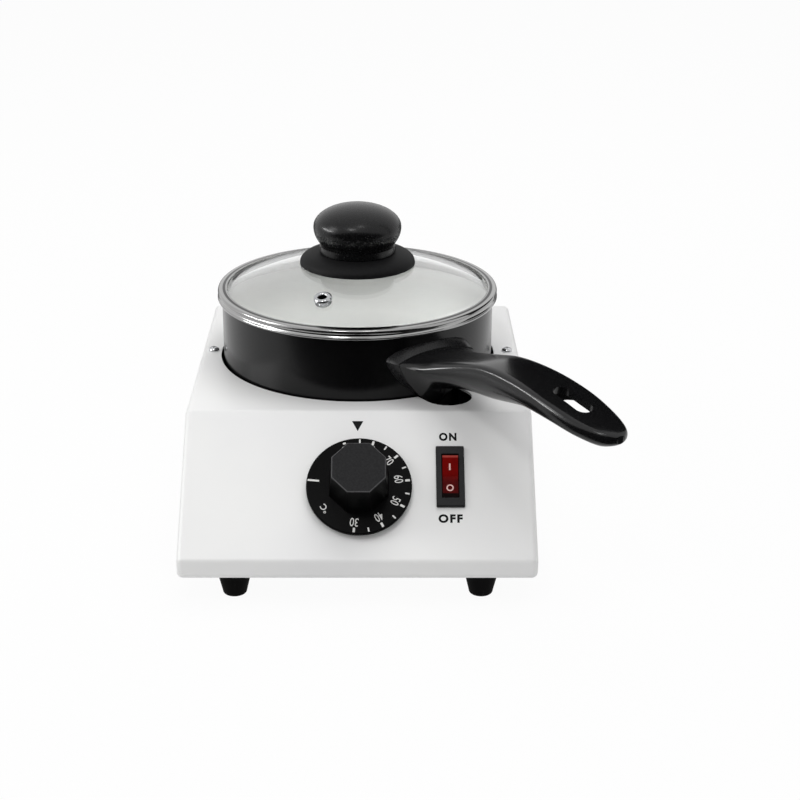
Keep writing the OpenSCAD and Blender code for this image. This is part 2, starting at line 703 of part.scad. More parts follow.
module foot(i) color("DimGray") translate([feet_at[i][0], feet_at[i][1], 0]) difference() {
    rotate_extrude($fn = 64) polygon(concat([[0, 0]],
        arc(foot_low_d / 2 - foot_round, foot_round, foot_round, -90, 0, 5),
        [[foot_top_d / 2, foot_h], [0, foot_h]]));
    drill(0, 0, foot_stud_d + 2 * fit, foot_h - foot_stud_in - fit + over, foot_h);
}
module foot_front_left() foot(0);
module foot_front_right() foot(1);
module foot_rear_left() foot(2);
module foot_rear_right() foot(3);

module foot_studs() color("Gainsboro") for (p = feet_at) translate([p[0], p[1], foot_h - foot_stud_in])
    cylinder(d = foot_stud_d, h = foot_stud_in + base_t + foot_stud_up, $fn = 32);

module foot_nuts() color("Gainsboro") for (p = feet_at) translate([p[0], p[1], skirt_z])
    nut(foot_nut_af, foot_nut_h, foot_stud_d);

module base_screws() color("Gainsboro") for (p = base_screws_at) translate([p[0], p[1], foot_h])
    mirror([0, 0, 1]) screw(base_head_d, base_head_h, base_screw_d, base_t + sheet_t + base_head_h);

module heating_well() color("Silver") difference() {
    intersection() {
        at_pan() union() {
            rotate_extrude($fn = 128) polygon(concat([[0, well_low], [0, well_z]],
                arc(well_r - well_corner, well_z + well_corner, well_corner, -90, 0),
                [[well_r, deck_low], [well_r + well_flange, deck_low],
                 [well_r + well_flange, flange_low], [well_out, flange_low]],
                arc(well_r - well_corner, well_low + well_corner + well_t, well_corner + well_t, 0, -90)));
            translate([0, 0, clamp_z - clamp_stud_l])
                cylinder(d = clamp_stud_d, h = well_z - well_floor_t / 2 - clamp_z + clamp_stud_l, $fn = 48);
        }
        translate([bend_r + seat_gap - body_w / 2, fold_y + bend_r + seat_gap, 0])
            cube([body_w - 2 * (bend_r + seat_gap), back_y - fold_y - 2 * (bend_r + seat_gap), deck_z]);
    }
    notch_cut(hole_gap / 3, notch_depth);
    for (p = deck_screws_at) drill(p[0], p[1], deck_screw_d + 2 * fit, flange_low, deck_low);
}

module deck_screws_set() color("Gainsboro") for (p = deck_screws_at) translate([p[0], p[1], deck_z])
    screw(deck_head_d, deck_head_h, deck_screw_d, deck_screw_l);

module deck_nuts() color("Gainsboro") for (p = deck_screws_at)
    translate([p[0], p[1], flange_low - deck_nut_h]) rotate([0, 0, 30])
        nut(deck_nut_af, deck_nut_h, deck_screw_d);

// Heater tabs reach out beyond the disc towards the front
heater_tabs_x = [-7, 7];
tab_w = 6;
tab_t = 0.8;
tab_l = 3.6;
module heater_disc() color("DarkGoldenrod") at_pan() difference() {
    union() {
        translate([0, 0, heater_z]) cylinder(d = heater_d, h = heater_t, $fn = 96);
        for (x = heater_tabs_x) translate([x - tab_w / 2, -heater_d / 2 - tab_l, heater_z])
            cube([tab_w, 2 * tab_l, tab_t]);
    }
    drill(0, 0, clamp_stud_d + 2 * bracket_play, heater_z, well_low);
}

module insulating_pad() color("Ivory") at_pan() difference() {
    translate([0, 0, pad_z]) cylinder(d = heater_d - 2 * pad_inset, h = pad_t, $fn = 96);
    drill(0, 0, clamp_stud_d + 2 * bracket_play, pad_z, heater_z);
}

module clamp_plate() color("Silver") at_pan() difference() {
    translate([0, 0, clamp_z]) cylinder(d = clamp_d, h = clamp_t, $fn = 96);
    drill(0, 0, clamp_stud_d + 2 * fit, clamp_z, pad_z);
    for (a = [0:60:300]) rotate([0, 0, a]) drill(clamp_hole_r, 0, clamp_hole_d, clamp_z, pad_z);
}

module clamp_nut() color("Gainsboro") at_pan() translate([0, 0, clamp_z - clamp_nut_h])
    nut(clamp_nut_af, clamp_nut_h, clamp_stud_d);

// The sensor bulb lies across the front of the well's wall, under its clip
bulb_y = -well_out - seat_gap - bulb_d / 2;
bulb_z = deck_z - bulb_drop;
module sensor_bulb() color("Peru") at_pan() translate([-bulb_l / 2, bulb_y, bulb_z])
    rotate([0, 90, 0]) cylinder(d = bulb_d, h = bulb_l, $fn = 48);

module bulb_clip() color("Silver") at_pan() translate([-clip_w / 2, -well_out - fit, bulb_z])
    rotate([90, 0, 90]) linear_extrude(clip_w) difference() {
        half = bulb_d / 2 + clip_t;
        mid = fit - seat_gap - bulb_d / 2;
        union() {
            translate([mid, 0]) circle(r = half, $fn = 48);
            translate([mid, -half]) square([-mid, 2 * half]);
            translate([-clip_t, -half - clip_tab]) square([clip_t, 2 * (half + clip_tab)]);
        }
        translate([mid, 0]) circle(r = bulb_d / 2 + fit, $fn = 48);
        translate([mid, -bulb_d / 2 - fit]) square([over - mid, bulb_d + 2 * fit]);
    }

// Wires and tube stop this far short of what they join
wire_gap = 0.2;
bend = 9;
bulb_end = pan_x - bulb_l / 2 - wire_gap;
tube_in = [dial_x - case_w / 3, dial_s + 4];
module capillary_tube() color("Peru") rod([[bulb_end, bulb_y, bulb_z],
    [bulb_end - bend, bulb_y, bulb_z], [bulb_end - 1.5 * bend, bulb_y - bend, bulb_z - bend],
    [bulb_end - bend, bulb_y - 1.8 * bend, bulb_z - 2 * bend],
    panel_point(tube_in[0], tube_in[1], stat_back - bend),
    panel_point(tube_in[0], tube_in[1], stat_back - wire_gap)], capillary_d);

stat_tabs_x = [-stat_tab_pitch / 2, stat_tab_pitch / 2];
stat_tab_s = case_l / 2 + tab_w;
module thermostat_case() color("Gray") on_panel(dial_x, dial_s) difference() {
    union() {
        translate([-stat_pitch / 2 - stat_plate_end, -stat_plate_w / 2, stat_front])
            cube([stat_pitch + 2 * stat_plate_end, stat_plate_w, stat_plate_t]);
        translate([-case_w / 2, -case_l / 2, stat_back]) cube([case_w, case_l, case_h]);
        for (x = stat_tabs_x) translate([x - tab_w / 2, -stat_tab_s, stat_back + stat_tab_up])
            cube([tab_w, 2 * tab_w, tab_t]);
    }
    drill(0, 0, shaft_d + 2 * play, over - sheet_t - shaft_in - bracket_play, 0);
    for (x = stat_screws_x) drill(x, 0, stat_screw_d + 2 * fit, -sheet_t - stat_screw_l, 0);
}

module thermostat_screws() color("Gainsboro") on_panel(dial_x, dial_s) for (x = stat_screws_x)
    translate([x, 0, 0]) screw(stat_head_d, stat_head_h, stat_screw_d, sheet_t + stat_screw_l);

flat_from = dial_gap + dial_edge;
module thermostat_shaft() color("Gainsboro") on_panel(dial_x, dial_s) difference() {
    translate([0, 0, -sheet_t - shaft_in]) cylinder(d = shaft_d, h = sheet_t + shaft_in + shaft_up, $fn = 48);
    translate([-shaft_d, shaft_d / 2 - shaft_flat, flat_from]) cube([2 * shaft_d, shaft_d, shaft_up]);
}

function octagon(af, h) = [for (a = [22.5:45:360]) [af / 2 / cos(22.5) * cos(a),
    af / 2 / cos(22.5) * sin(a), h]];

module dial_knob() color("DimGray") on_panel(dial_x, dial_s) difference() {
    top = dial_gap + dial_edge;
    r = dial_d / 2;
    edge = dial_edge / 5;
    hub = grip_low_af / 2 - over;
    union() {
        rotate_extrude($fn = 128) polygon([[0, dial_gap], [r - edge, dial_gap], [r, dial_gap + edge],
            [r, top - edge], [r - edge, top], [hub, top + dial_rise], [0, top + dial_rise]]);
        loft([octagon(grip_low_af, dial_gap + over), octagon(grip_af, grip_top - grip_bevel),
            octagon(grip_af - 2 * grip_bevel, grip_top)]);
    }
    difference() {
        drill(0, 0, shaft_d + 2 * fit, 0, shaft_up + bracket_play - over);
        translate([-shaft_d, shaft_d / 2 - shaft_flat + fit, flat_from + fit])
            cube([2 * shaft_d, shaft_d, shaft_up + 2 * over]);
    }
    difference() {
        drill(0, 0, dial_d - 2 * dial_wall, dial_gap, dial_gap + dial_hollow - over);
        drill(0, 0, dial_boss_d, dial_gap, dial_gap + dial_hollow);
    }
}

blade_rows = [-blade_pitch, 0, blade_pitch];
module switch_housing() color("DimGray") on_panel(switch_x, switch_s) difference() {
    w = switch_w + 2 * bezel_side;
    l = switch_l + 2 * bezel_end;
    union() {
        linear_extrude(bezel_h - bezel_step) polygon(round_box(w, l, bezel_step));
        translate([0, 0, bezel_h - bezel_step]) linear_extrude(bezel_step)
            polygon(round_box(w - bezel_step, l - bezel_step, bezel_step));
        translate([-switch_w / 2, -switch_l / 2, -switch_depth])
            cube([switch_w, switch_l, switch_depth + bezel_h / 2]);
    }
    translate([-opening_w / 2, -opening_l / 2, -opening_depth])
        cube([opening_w, opening_l, opening_depth + bezel_h + over]);
    translate([-opening_w / 2 - pivot_in - fit, 0, -pivot_drop]) rotate([0, 90, 0])
        cylinder(d = pivot_d + 2 * play, h = opening_w + 2 * (pivot_in + fit), $fn = 32);
    for (s = blade_rows) translate([-blade_w / 2 - fit, s - blade_t / 2 - fit, -switch_depth - over])
        cube([blade_w + 2 * fit, blade_t + 2 * fit, over + blade_l[1] + fit]);
}

module switch_terminals() color("Goldenrod") on_panel(switch_x, switch_s)
    for (s = blade_rows) translate([0, s, blade_tip]) difference() {
        translate([-blade_w / 2, -blade_t / 2, 0]) cube([blade_w, blade_t, blade_l[0] + blade_l[1]]);
        translate([0, over, 2 * eye_d]) rotate([90, 0, 0]) cylinder(d = eye_d, h = 2 * over, $fn = 24);
    }

// Two faces meet in an edge over the pivot; the upper end stands proud in the off position
module rocker() color("FireBrick") on_panel(switch_x, switch_s) {
    low = rocker_up - rocker_t;
    far = 2 * rocker_r;
    pivot_l = opening_w / 2 - rocker_w / 2 + pivot_in + rocker_wall;
    difference() {
        translate([-rocker_w / 2, 0, 0]) rotate([90, 0, 90]) linear_extrude(rocker_w) intersection() {
            translate([0, -pivot_drop]) circle(r = rocker_r, $fn = 96);
            polygon([[-far, rocker_up], [0, rocker_up], [far, rocker_up + far * tan(rocker_swing)],
                [far, low], [-far, low - far / 10]]);
        }
        translate([rocker_wall - rocker_w / 2, 2.5 * rocker_wall - rocker_r, -opening_depth])
            cube([rocker_w - 2 * rocker_wall, 2 * rocker_r - 5 * rocker_wall, opening_depth - pivot_drop]);
    }
    for (x = [rocker_w / 2 - rocker_wall, rocker_wall - rocker_w / 2 - pivot_l])
        translate([x, 0, -pivot_drop]) rotate([0, 90, 0]) cylinder(d = pivot_d, h = pivot_l, $fn = 32);
}

gland_af = gland_d + 2.5 * gland_cap;
module cord_gland() color("DimGray") at_gland() difference() {
    cap_r = gland_d / 2 + gland_cap;
    union() {
        translate([0, 0, -sheet_t - gland_in])
            cylinder(d = gland_d, h = sheet_t + gland_in + gland_hex_h / 2, $fn = 64);
        cylinder(d = gland_af * hex, h = gland_hex_h, $fn = 6);
        translate([0, 0, gland_hex_h / 2]) rotate_extrude($fn = 64)
            polygon([[0, 0], [cap_r, 0], [cap_r, gland_out - 1.5 * gland_hex_h],
                [gland_d / 2, gland_out - gland_hex_h / 2], [0, gland_out - gland_hex_h / 2]]);
    }
    drill(0, 0, gland_bore, -sheet_t - gland_in, gland_out, 64);
}

module gland_nut() color("DimGray") at_gland() translate([0, 0, -sheet_t - gland_hex_h])
    nut(gland_af, gland_hex_h, gland_d);

module terminal_block() color("Ivory") translate([block_at[0], block_at[1], skirt_z]) difference() {
    union() {
        translate([-block_l / 2, -block_w / 2, 0]) cube([block_l, block_w, block_h]);
        for (x = peg_rows) translate([x, 0, -2 * base_t]) cylinder(d = peg_d, h = 3 * base_t, $fn = 32);
    }
    for (x = block_rows) {
        translate([x, -block_w / 2 - over, block_h / 2]) rotate([-90, 0, 0])
            cylinder(d = block_bore, h = block_w + 2 * over, $fn = 32);
        for (y = [-block_screw_y, block_screw_y]) translate([x, y, block_h / 2])
            cylinder(d = block_screw_d, h = block_h, $fn = 32);
    }
}

// Each terminal screw bears on its wire and ends below the block's top
terminal_low = wire_d / 2 + wire_gap;
terminal_h = block_h / 2 - terminal_low - over / 2;
module terminal_screws() color("Goldenrod") for (x = block_rows, y = [-block_screw_y, block_screw_y])
    translate([block_at[0] + x, block_at[1] + y, skirt_z + block_h / 2 + terminal_low]) difference() {
        cylinder(d = block_screw_d - 2 * fit, h = terminal_h, $fn = 32);
        translate([-block_screw_d, -blade_t / 2, terminal_h - blade_t])
            cube([2 * block_screw_d, blade_t, 2 * blade_t]);
    }

module earth_stud() color("Goldenrod") translate([earth_at[0], earth_at[1], foot_h]) {
    translate([0, 0, -earth_d / 2]) cylinder(d = earth_af * hex, h = earth_d / 2, $fn = 6);
    cylinder(d = earth_d, h = base_t + 2.2 * earth_d, $fn = 32);
}

module earth_nut() color("Goldenrod") translate([earth_at[0], earth_at[1], skirt_z])
    nut(earth_af, foot_nut_h, earth_d);

// Wire routes: from the block along the base, up behind the panel and to the heater's tabs
wire_z = skirt_z + block_h / 2;
wire_in = block_at[1] - block_w / 2 + block_screw_y;
base_run = skirt_z + 5;
tab_s = dial_s - stat_tab_s - wire_gap;
stat_tab = stat_back + stat_tab_up + tab_t / 2;
heater_end = [pan_x, -heater_d / 2 - tab_l / 2, heater_z - wire_gap];
heater_low = [heater_end[0], heater_end[1], heater_z - bend];
blade_end = blade_tip - wire_gap;

module wire_live() color("SaddleBrown") rod([[block_at[0], wire_in, wire_z],
    [block_at[0], wire_in - bend, wire_z], [block_at[0] + bend, block_at[1] - 4 * bend, wire_z],
    [switch_x + bend, fold_y + 5 * bend, wire_z], [switch_x + bend, fold_y + 2 * bend, wire_z],
    panel_point(switch_x + bend / 3, switch_s + blade_pitch, blade_end - 1.4 * bend),
    panel_point(switch_x, switch_s + blade_pitch, blade_end - bend / 2),
    panel_point(switch_x, switch_s + blade_pitch, blade_end)], wire_d);

module wire_switched() color("SaddleBrown") rod(up = [1, 0, 0], d = wire_d,
    path = [panel_point(switch_x, switch_s, blade_end),
    panel_point(switch_x, switch_s, blade_end - bend / 2),
    panel_point(switch_x - bend / 2, switch_s - bend / 2, blade_end - bend),
    [switch_x - 2 * bend, front_y + 3.4 * bend, base_run], [dial_x + 2 * bend, front_y + 2 * bend, base_run],
    panel_point(dial_x + stat_tabs_x[1], tab_s - bend / 2, stat_tab),
    panel_point(dial_x + stat_tabs_x[1], tab_s, stat_tab)]);

module wire_heater() color("SaddleBrown") rod(up = [1, 0, 0], d = wire_d,
    path = [panel_point(dial_x + stat_tabs_x[0], tab_s, stat_tab),
    panel_point(dial_x + stat_tabs_x[0], tab_s - bend / 2, stat_tab),
    [dial_x - 2 * bend, front_y + 2 * bend, base_run], [dial_x - 3 * bend, front_y + 3.8 * bend, base_run],
    [dial_x - 2.7 * bend, fold_y - bend, base_run], heater_low + [-2 * bend, -1.4 * bend, -bend],
    heater_low + [heater_tabs_x[0], 0, 0], heater_end + [heater_tabs_x[0], 0, 0]]);

module wire_neutral() color("SteelBlue") rod([[block_at[0] - block_pitch, wire_in, wire_z],
    [block_at[0] - block_pitch, wire_in - bend, wire_z],
    [block_at[0] - 2 * bend, block_at[1] - 4 * bend, wire_z],
    [pan_x + 1.5 * bend, fold_y + 5.5 * bend, wire_z],
    heater_low + [heater_tabs_x[1], bend, -bend], heater_low + [heater_tabs_x[1], 0, 0],
    heater_end + [heater_tabs_x[1], 0, 0]], wire_d);

earth_touch = (earth_d + wire_d) / 2 + wire_gap;
module wire_earth() color("YellowGreen") rod([[block_at[0] + block_pitch, wire_in, wire_z],
    [block_at[0] + block_pitch, wire_in - bend, wire_z],
    [earth_at[0] - earth_touch - bend / 2, earth_at[1] + bend / 2, wire_z],
    [earth_at[0] - earth_touch, earth_at[1], wire_z]], wire_d);

module pan() color("DarkSlateGray") at_pan() rotate_extrude($fn = 128) polygon(concat([[0, pan_z]],
    arc(pan_r - pan_corner, pan_z + pan_corner, pan_corner, -90, 0),
    arc(pan_r - pan_edge, pan_z + pan_h - pan_edge, pan_edge, 0, 90, 3),
    arc(pan_r - pan_wall + pan_edge, pan_z + pan_h - pan_edge, pan_edge, 90, 180, 3),
    arc(pan_r - pan_corner, pan_z + pan_floor + pan_corner - pan_wall, pan_corner - pan_wall, 0, -90),
    [[0, pan_z + pan_floor]]));

module bracket_form(extra, from, to) translate([from, -bracket_w / 2 - extra, bracket_low - extra])
    cube([to - from, bracket_w + 2 * extra, bracket_h + 2 * extra]);

module handle_bracket() color("Silver") difference() {
    at_handle() bracket_form(0, pan_r - pan_wall, pan_r + bracket_l);
    at_pan() translate([0, 0, pan_z]) cylinder(r = pan_r + fit / 2, h = pan_h, $fn = 128);
    at_handle() drill(handle_screw_r, 0, handle_screw_d + 2 * fit, pan_z, pan_z + pan_h);
}

module handle_collar() color("SlateGray") difference() {
    at_handle() loft(collar_rings);
    at_pan() translate([0, 0, pan_z]) cylinder(r = pan_r + seat_gap, h = pan_h + lid_over, $fn = 128);
    at_handle() bracket_form(bracket_play, collar_start - over, collar_end + over);
}

module pan_handle() color("DimGray") at_handle() difference() {
    loft(handle_rings);
    bracket_form(bracket_play, collar_end - over, pan_r + bracket_l + bracket_play);
    drill(handle_screw_r, 0, handle_screw_d + 4 * bracket_play, pan_z, bracket_low);
    drill(handle_screw_r, 0, handle_head_d + 4 * bracket_play, pan_z, screw_seat - over);
    translate([slot_mid, handle_swing * slot_share, slot_top]) rotate([0, slot_tilt, slot_turn])
        translate([0, 0, -pan_h / 2]) {
        linear_extrude(pan_h) polygon(stadium(slot_l, slot_w));
        linear_extrude(pan_h / 2 - slot_floor)
            polygon(stadium(slot_l + 2 * slot_relief, slot_w + 2 * slot_relief));
    }
}

// Screw up through the handle's underside into the bracket
module handle_screw() color("Gainsboro") at_handle() translate([handle_screw_r, 0, screw_seat])
    mirror([0, 0, 1]) screw(handle_head_d, handle_head_h, handle_screw_d, screw_wall + bracket_h);

glass_bore = knob_screw_d / 2 + ring_t;
module lid_glass() color("LightCyan", 0.4) difference() {
    at_pan() rotate_extrude($fn = 128) polygon(concat(dome_arc(0, glass_bore, dome_edge, 24),
        [[glass_edge_r, glass_edge_z], [glass_edge_r, glass_edge_z - glass_t]],
        dome_arc(glass_t, glass_low_r, glass_bore, 24)));
    at_vent() drill(0, 0, vent_d + 2 * (eyelet_t + seat_gap), dome_r - 2 * glass_t, dome_r + glass_t);
}

// Rolled rim: ring inside the pan, lower bead, hollow band, upper bead and lip over the glass
module lid_rim() color("Gainsboro") at_pan() translate([0, 0, rim_z]) rotate_extrude($fn = 128) {
    ring = pan_r - pan_wall - rim_play;
    bead = rim_under;
    lip = rim_under + glass_t + fit / 2;
    under = rim_under - fit / 2;
    inner = dome_edge - ring_t / 2;
    polygon(concat([[ring - ring_t, -rim_drop], [ring, -rim_drop], [ring, 0]],
        arc(lid_r - bead, bead, bead, -90, 45, 9),
        arc(lid_r + ring_t, rim_h / 2 + bead / 4, 2 * ring_t, 232, 128, 6),
        arc(lid_r - 1.6 * bead, rim_h - 1.25 * bead, 1.25 * bead, 20, 90, 5),
        [[inner, rim_h + bead / 4], [inner, lip + bead / 4], [inner + 1.25 * bead, lip],
         [glass_edge_r + fit, lip], [glass_edge_r + fit, under], [ring - ring_t, under]]));
}

module knob_skirt() color("DimGray") at_pan() rotate_extrude($fn = 96) {
    bore = knob_screw_d / 2 + seat_gap;
    foot_r = skirt_d / 2;
    top_r = neck_d / 2 - fit;
    edge_z = skirt_low + skirt_edge;
    polygon(concat(dome_arc(-seat_gap, bore, foot_r - skirt_edge / 2, 12),
        [[foot_r, skirt_low + skirt_edge / 2], [foot_r, edge_z]],
        bow(top_r, edge_z, foot_r - top_r, skirt_top - edge_z, 12, 78, 8),
        [[top_r - skirt_edge, skirt_top], [bore, skirt_top]]));
}

// Turned knob: straight neck, undercut and flattened cap
module lid_knob() color("DimGray") at_pan() rotate_extrude($fn = 96) {
    bore = knob_screw_d / 2 + fit;
    neck = neck_d / 2;
    ease = neck_h / 12;
    polygon(concat([[bore, neck_z], [neck - ease, neck_z], [neck, neck_z + ease],
        [neck - ease / 2, neck_z + neck_h - ease], [neck - 3 * ease, neck_z + neck_h]],
        bow(0, cap_z, cap_d / 2, cap_down * 1.76, -32, 0, 8), bow(0, cap_z, cap_d / 2, cap_up, 8, 90, 12),
        [[0, cap_floor], [bore, cap_floor]]));
}

module knob_washer() color("Gray") at_pan() difference() {
    translate([0, 0, washer_z]) cylinder(d = washer_d, h = washer_t, $fn = 64);
    drill(0, 0, knob_screw_d + 2 * fit, washer_z, washer_z + washer_t);
}

module knob_screw() color("Gainsboro") at_pan() translate([0, 0, washer_z]) mirror([0, 0, 1])
    screw(knob_head_d, knob_head_h, knob_screw_d, screw_tip - washer_z);

module vent_eyelet() color("Gainsboro") at_vent() translate([0, 0, dome_r]) rotate_extrude($fn = 64) {
    bore = vent_d / 2;
    tube = bore + eyelet_t;
    top = eyelet_d / 2;
    low = -glass_t - 1.5 * seat_gap;
    polygon(concat([[bore, low - eyelet_t * 3 / 4], [tube + eyelet_t, low - eyelet_t * 3 / 4],
        [tube + 1.4 * eyelet_t, low], [tube, low], [tube, 0], [top, 0]],
        bow((bore + top) / 2, eyelet_h / 3, (top - bore) / 2, eyelet_h * 2 / 3, 0, 180, 10),
        [[bore, eyelet_h / 4]]));
}

place() housing_cover();
place() base_plate();
place() foot_front_left();
place() foot_front_right();
place() foot_rear_left();
place() foot_rear_right();
place() foot_studs();
place() foot_nuts();
place() base_screws();
place() heating_well();
place() deck_screws_set();
place() deck_nuts();
place() heater_disc();
place() insulating_pad();
place() clamp_plate();
place() clamp_nut();
place() sensor_bulb();
place() bulb_clip();
place() capillary_tube();
place() thermostat_case();
place() thermostat_screws();
place() thermostat_shaft();
place() dial_knob();
place() switch_housing();
place() switch_terminals();
place() rocker();
place() cord_gland();
place() gland_nut();
place() terminal_block();
place() terminal_screws();
place() earth_stud();
place() earth_nut();
place() wire_live();
place() wire_switched();
place() wire_heater();
place() wire_neutral();
place() wire_earth();
place() pan();
place() handle_bracket();
place() handle_collar();
place() pan_handle();
place() handle_screw();
place() lid_glass();
place() lid_rim();
place() knob_skirt();
place() lid_knob();
place() knob_washer();
place() knob_screw();
place() vent_eyelet();
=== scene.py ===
# Chocolate melting tank: finishes, printed marks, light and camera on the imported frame
import json
import math

import bpy
from mathutils import Matrix, Vector

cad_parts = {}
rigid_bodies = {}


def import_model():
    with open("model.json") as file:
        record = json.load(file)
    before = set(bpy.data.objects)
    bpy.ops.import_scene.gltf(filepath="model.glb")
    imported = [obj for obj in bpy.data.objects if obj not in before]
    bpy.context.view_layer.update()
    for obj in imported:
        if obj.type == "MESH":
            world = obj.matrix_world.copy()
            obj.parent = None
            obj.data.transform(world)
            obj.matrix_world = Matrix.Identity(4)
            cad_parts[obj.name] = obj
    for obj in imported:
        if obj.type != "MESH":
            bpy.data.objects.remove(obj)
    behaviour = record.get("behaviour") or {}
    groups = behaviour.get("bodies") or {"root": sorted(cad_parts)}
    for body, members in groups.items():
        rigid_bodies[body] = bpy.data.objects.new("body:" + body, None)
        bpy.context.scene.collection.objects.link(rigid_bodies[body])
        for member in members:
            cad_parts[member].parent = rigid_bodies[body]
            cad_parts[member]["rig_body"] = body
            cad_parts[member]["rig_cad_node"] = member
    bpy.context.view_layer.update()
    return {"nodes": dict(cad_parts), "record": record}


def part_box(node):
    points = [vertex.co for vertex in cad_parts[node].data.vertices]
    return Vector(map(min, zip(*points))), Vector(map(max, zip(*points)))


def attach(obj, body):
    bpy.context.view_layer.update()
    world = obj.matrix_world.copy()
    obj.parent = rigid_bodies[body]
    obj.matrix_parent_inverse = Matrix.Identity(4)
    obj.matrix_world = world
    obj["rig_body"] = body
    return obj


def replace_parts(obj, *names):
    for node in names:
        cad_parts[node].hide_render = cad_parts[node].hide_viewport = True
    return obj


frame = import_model()
nodes = frame["nodes"]

# Places on the tank, in millimetres from the cover's centreline, the pan's axis and the floor

MM = 0.001
cover_low, cover_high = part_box("housing_cover")
glass_low, glass_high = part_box("lid_glass")
AXIS_FROM_BACK = 77.5
MIDDLE_X = (cover_low.x + cover_high.x) / 2
AXIS_Y = cover_high.y - AXIS_FROM_BACK * MM
PAN_X = -1.5
# Sloping panel: its lower fold, and its run and rise from there to the deck
FOLD_Y, FOLD_Z = -145.5, 24
PANEL_RUN, PANEL_RISE = 61, 51
SLOPE = math.atan2(PANEL_RISE, PANEL_RUN)
# Dial and switch: across the panel, and up its slope from the fold
DIAL_X, DIAL_S = 0.5, 37.0
SWITCH_X, SWITCH_S = 44.2, 43.4
# Glass dome: it rises inside the edge that the rim laps over, and the rim's lip reaches a little further in
RIM_LAP, RIM_LIP, DOME_RISE = 2.9, 0.4, 15.5
DOME_EDGE = (glass_high.x - glass_low.x) / 2 - RIM_LAP * MM
DOME_RADIUS = (DOME_EDGE ** 2 + (DOME_RISE * MM) ** 2) / (2 * DOME_RISE * MM)
RIM_INNER = DOME_EDGE - RIM_LIP * MM


def spot(x, y, z):
    """Point of the frame, in metres, from millimetres on the tank."""
    return Vector((MIDDLE_X + x * MM, AXIS_Y + y * MM, z * MM))


def panel_frame(x, s, h, lean=0.0):
    """Frame on the sloping panel: x along it, y up its slope, z square out of it."""
    run, rise = math.cos(SLOPE), math.sin(SLOPE)
    origin = spot(x, FOLD_Y + s * run - h * rise, FOLD_Z + s * rise + h * run)
    turn = Matrix.Rotation(SLOPE + math.radians(lean), 4, "X")
    return Matrix.Translation(origin) @ turn


PAN_AXIS = spot(PAN_X, 0, 0)
DOME_MIDDLE = spot(PAN_X, 0, (glass_high.z - DOME_RADIUS) / MM)
DIAL_STAND = panel_frame(DIAL_X, DIAL_S, 0)
SWITCH_STAND = panel_frame(SWITCH_X, SWITCH_S, 0)
PANEL_OUT = (0, -math.sin(SLOPE), math.cos(SLOPE))
PANEL_UP = (0, math.cos(SLOPE), math.sin(SLOPE))


# Materials

# The Mix node's colour sockets
MIX_A, MIX_B, MIX_OUT = 6, 7, 2


def linear(code):
    """Linear colour from an sRGB hex value."""
    parts = [int(code[i:i + 2], 16) / 255 for i in (1, 3, 5)]
    return [c / 12.92 if c <= 0.04045 else ((c + 0.055) / 1.055) ** 2.4 for c in parts] + [1.0]


def add(tree, kind, inputs=None, **settings):
    """Adds a node with its settings, fixed values and links."""
    made = tree.nodes.new("ShaderNode" + kind)
    for name, value in settings.items():
        setattr(made, name, value)
    for name, value in (inputs or {}).items():
        if isinstance(value, bpy.types.NodeSocket):
            tree.links.new(value, made.inputs[name])
        else:
            made.inputs[name].default_value = value
    return made


def blank(name):
    """New material and its empty node tree."""
    made = bpy.data.materials.new(name)
    made.use_nodes = True
    made.node_tree.nodes.clear()
    return made, made.node_tree


def two_tone(tree, grain, first, second):
    """Colour that turns from one sRGB value to another over the middle of a grain's range."""
    turn = add(tree, "MapRange", {"Value": grain, "From Min": 0.35, "From Max": 0.65}).outputs["Result"]
    tones = {"Factor": turn, MIX_A: linear(first), MIX_B: linear(second)}
    return add(tree, "Mix", tones, data_type="RGBA").outputs[MIX_OUT]


def off_pan_axis(tree, place):
    """Distance of a point from the pan's axis."""
    shift = (-PAN_AXIS.x, -PAN_AXIS.y, 0)
    local = add(tree, "Mapping", {"Vector": place, "Location": shift}).outputs["Vector"]
    flat = add(tree, "VectorMath", {0: local, 1: (1, 1, 0)}, operation="MULTIPLY").outputs["Vector"]
    return add(tree, "VectorMath", {0: flat}, operation="LENGTH").outputs["Value"]


def grained(name, dark, light, grain_mm, rough, spread=0.06, relief_mm=0.02, metallic=0.0, specular=0.5):
    """Finish with a fine even grain: colour, gloss and relief follow the same specks."""
    made, tree = blank(name)
    place = add(tree, "TexCoord").outputs["Object"]
    specks = {"Vector": place, "Scale": 1000 / grain_mm, "Detail": 3.0, "Roughness": 0.55}
    grain = add(tree, "TexNoise", specks).outputs["Fac"]
    dull = add(tree, "MapRange", {"Value": grain, "To Min": rough - spread, "To Max": rough + spread})
    relief = add(tree, "Bump", {"Height": grain, "Distance": relief_mm * MM, "Strength": 1.0})
    shader = add(tree, "BsdfPrincipled", {
        "Base Color": two_tone(tree, grain, dark, light), "Roughness": dull.outputs["Result"],
        "Normal": relief.outputs["Normal"], "Metallic": metallic, "Specular IOR Level": specular})
    add(tree, "OutputMaterial", {"Surface": shader.outputs["BSDF"]})
    return made


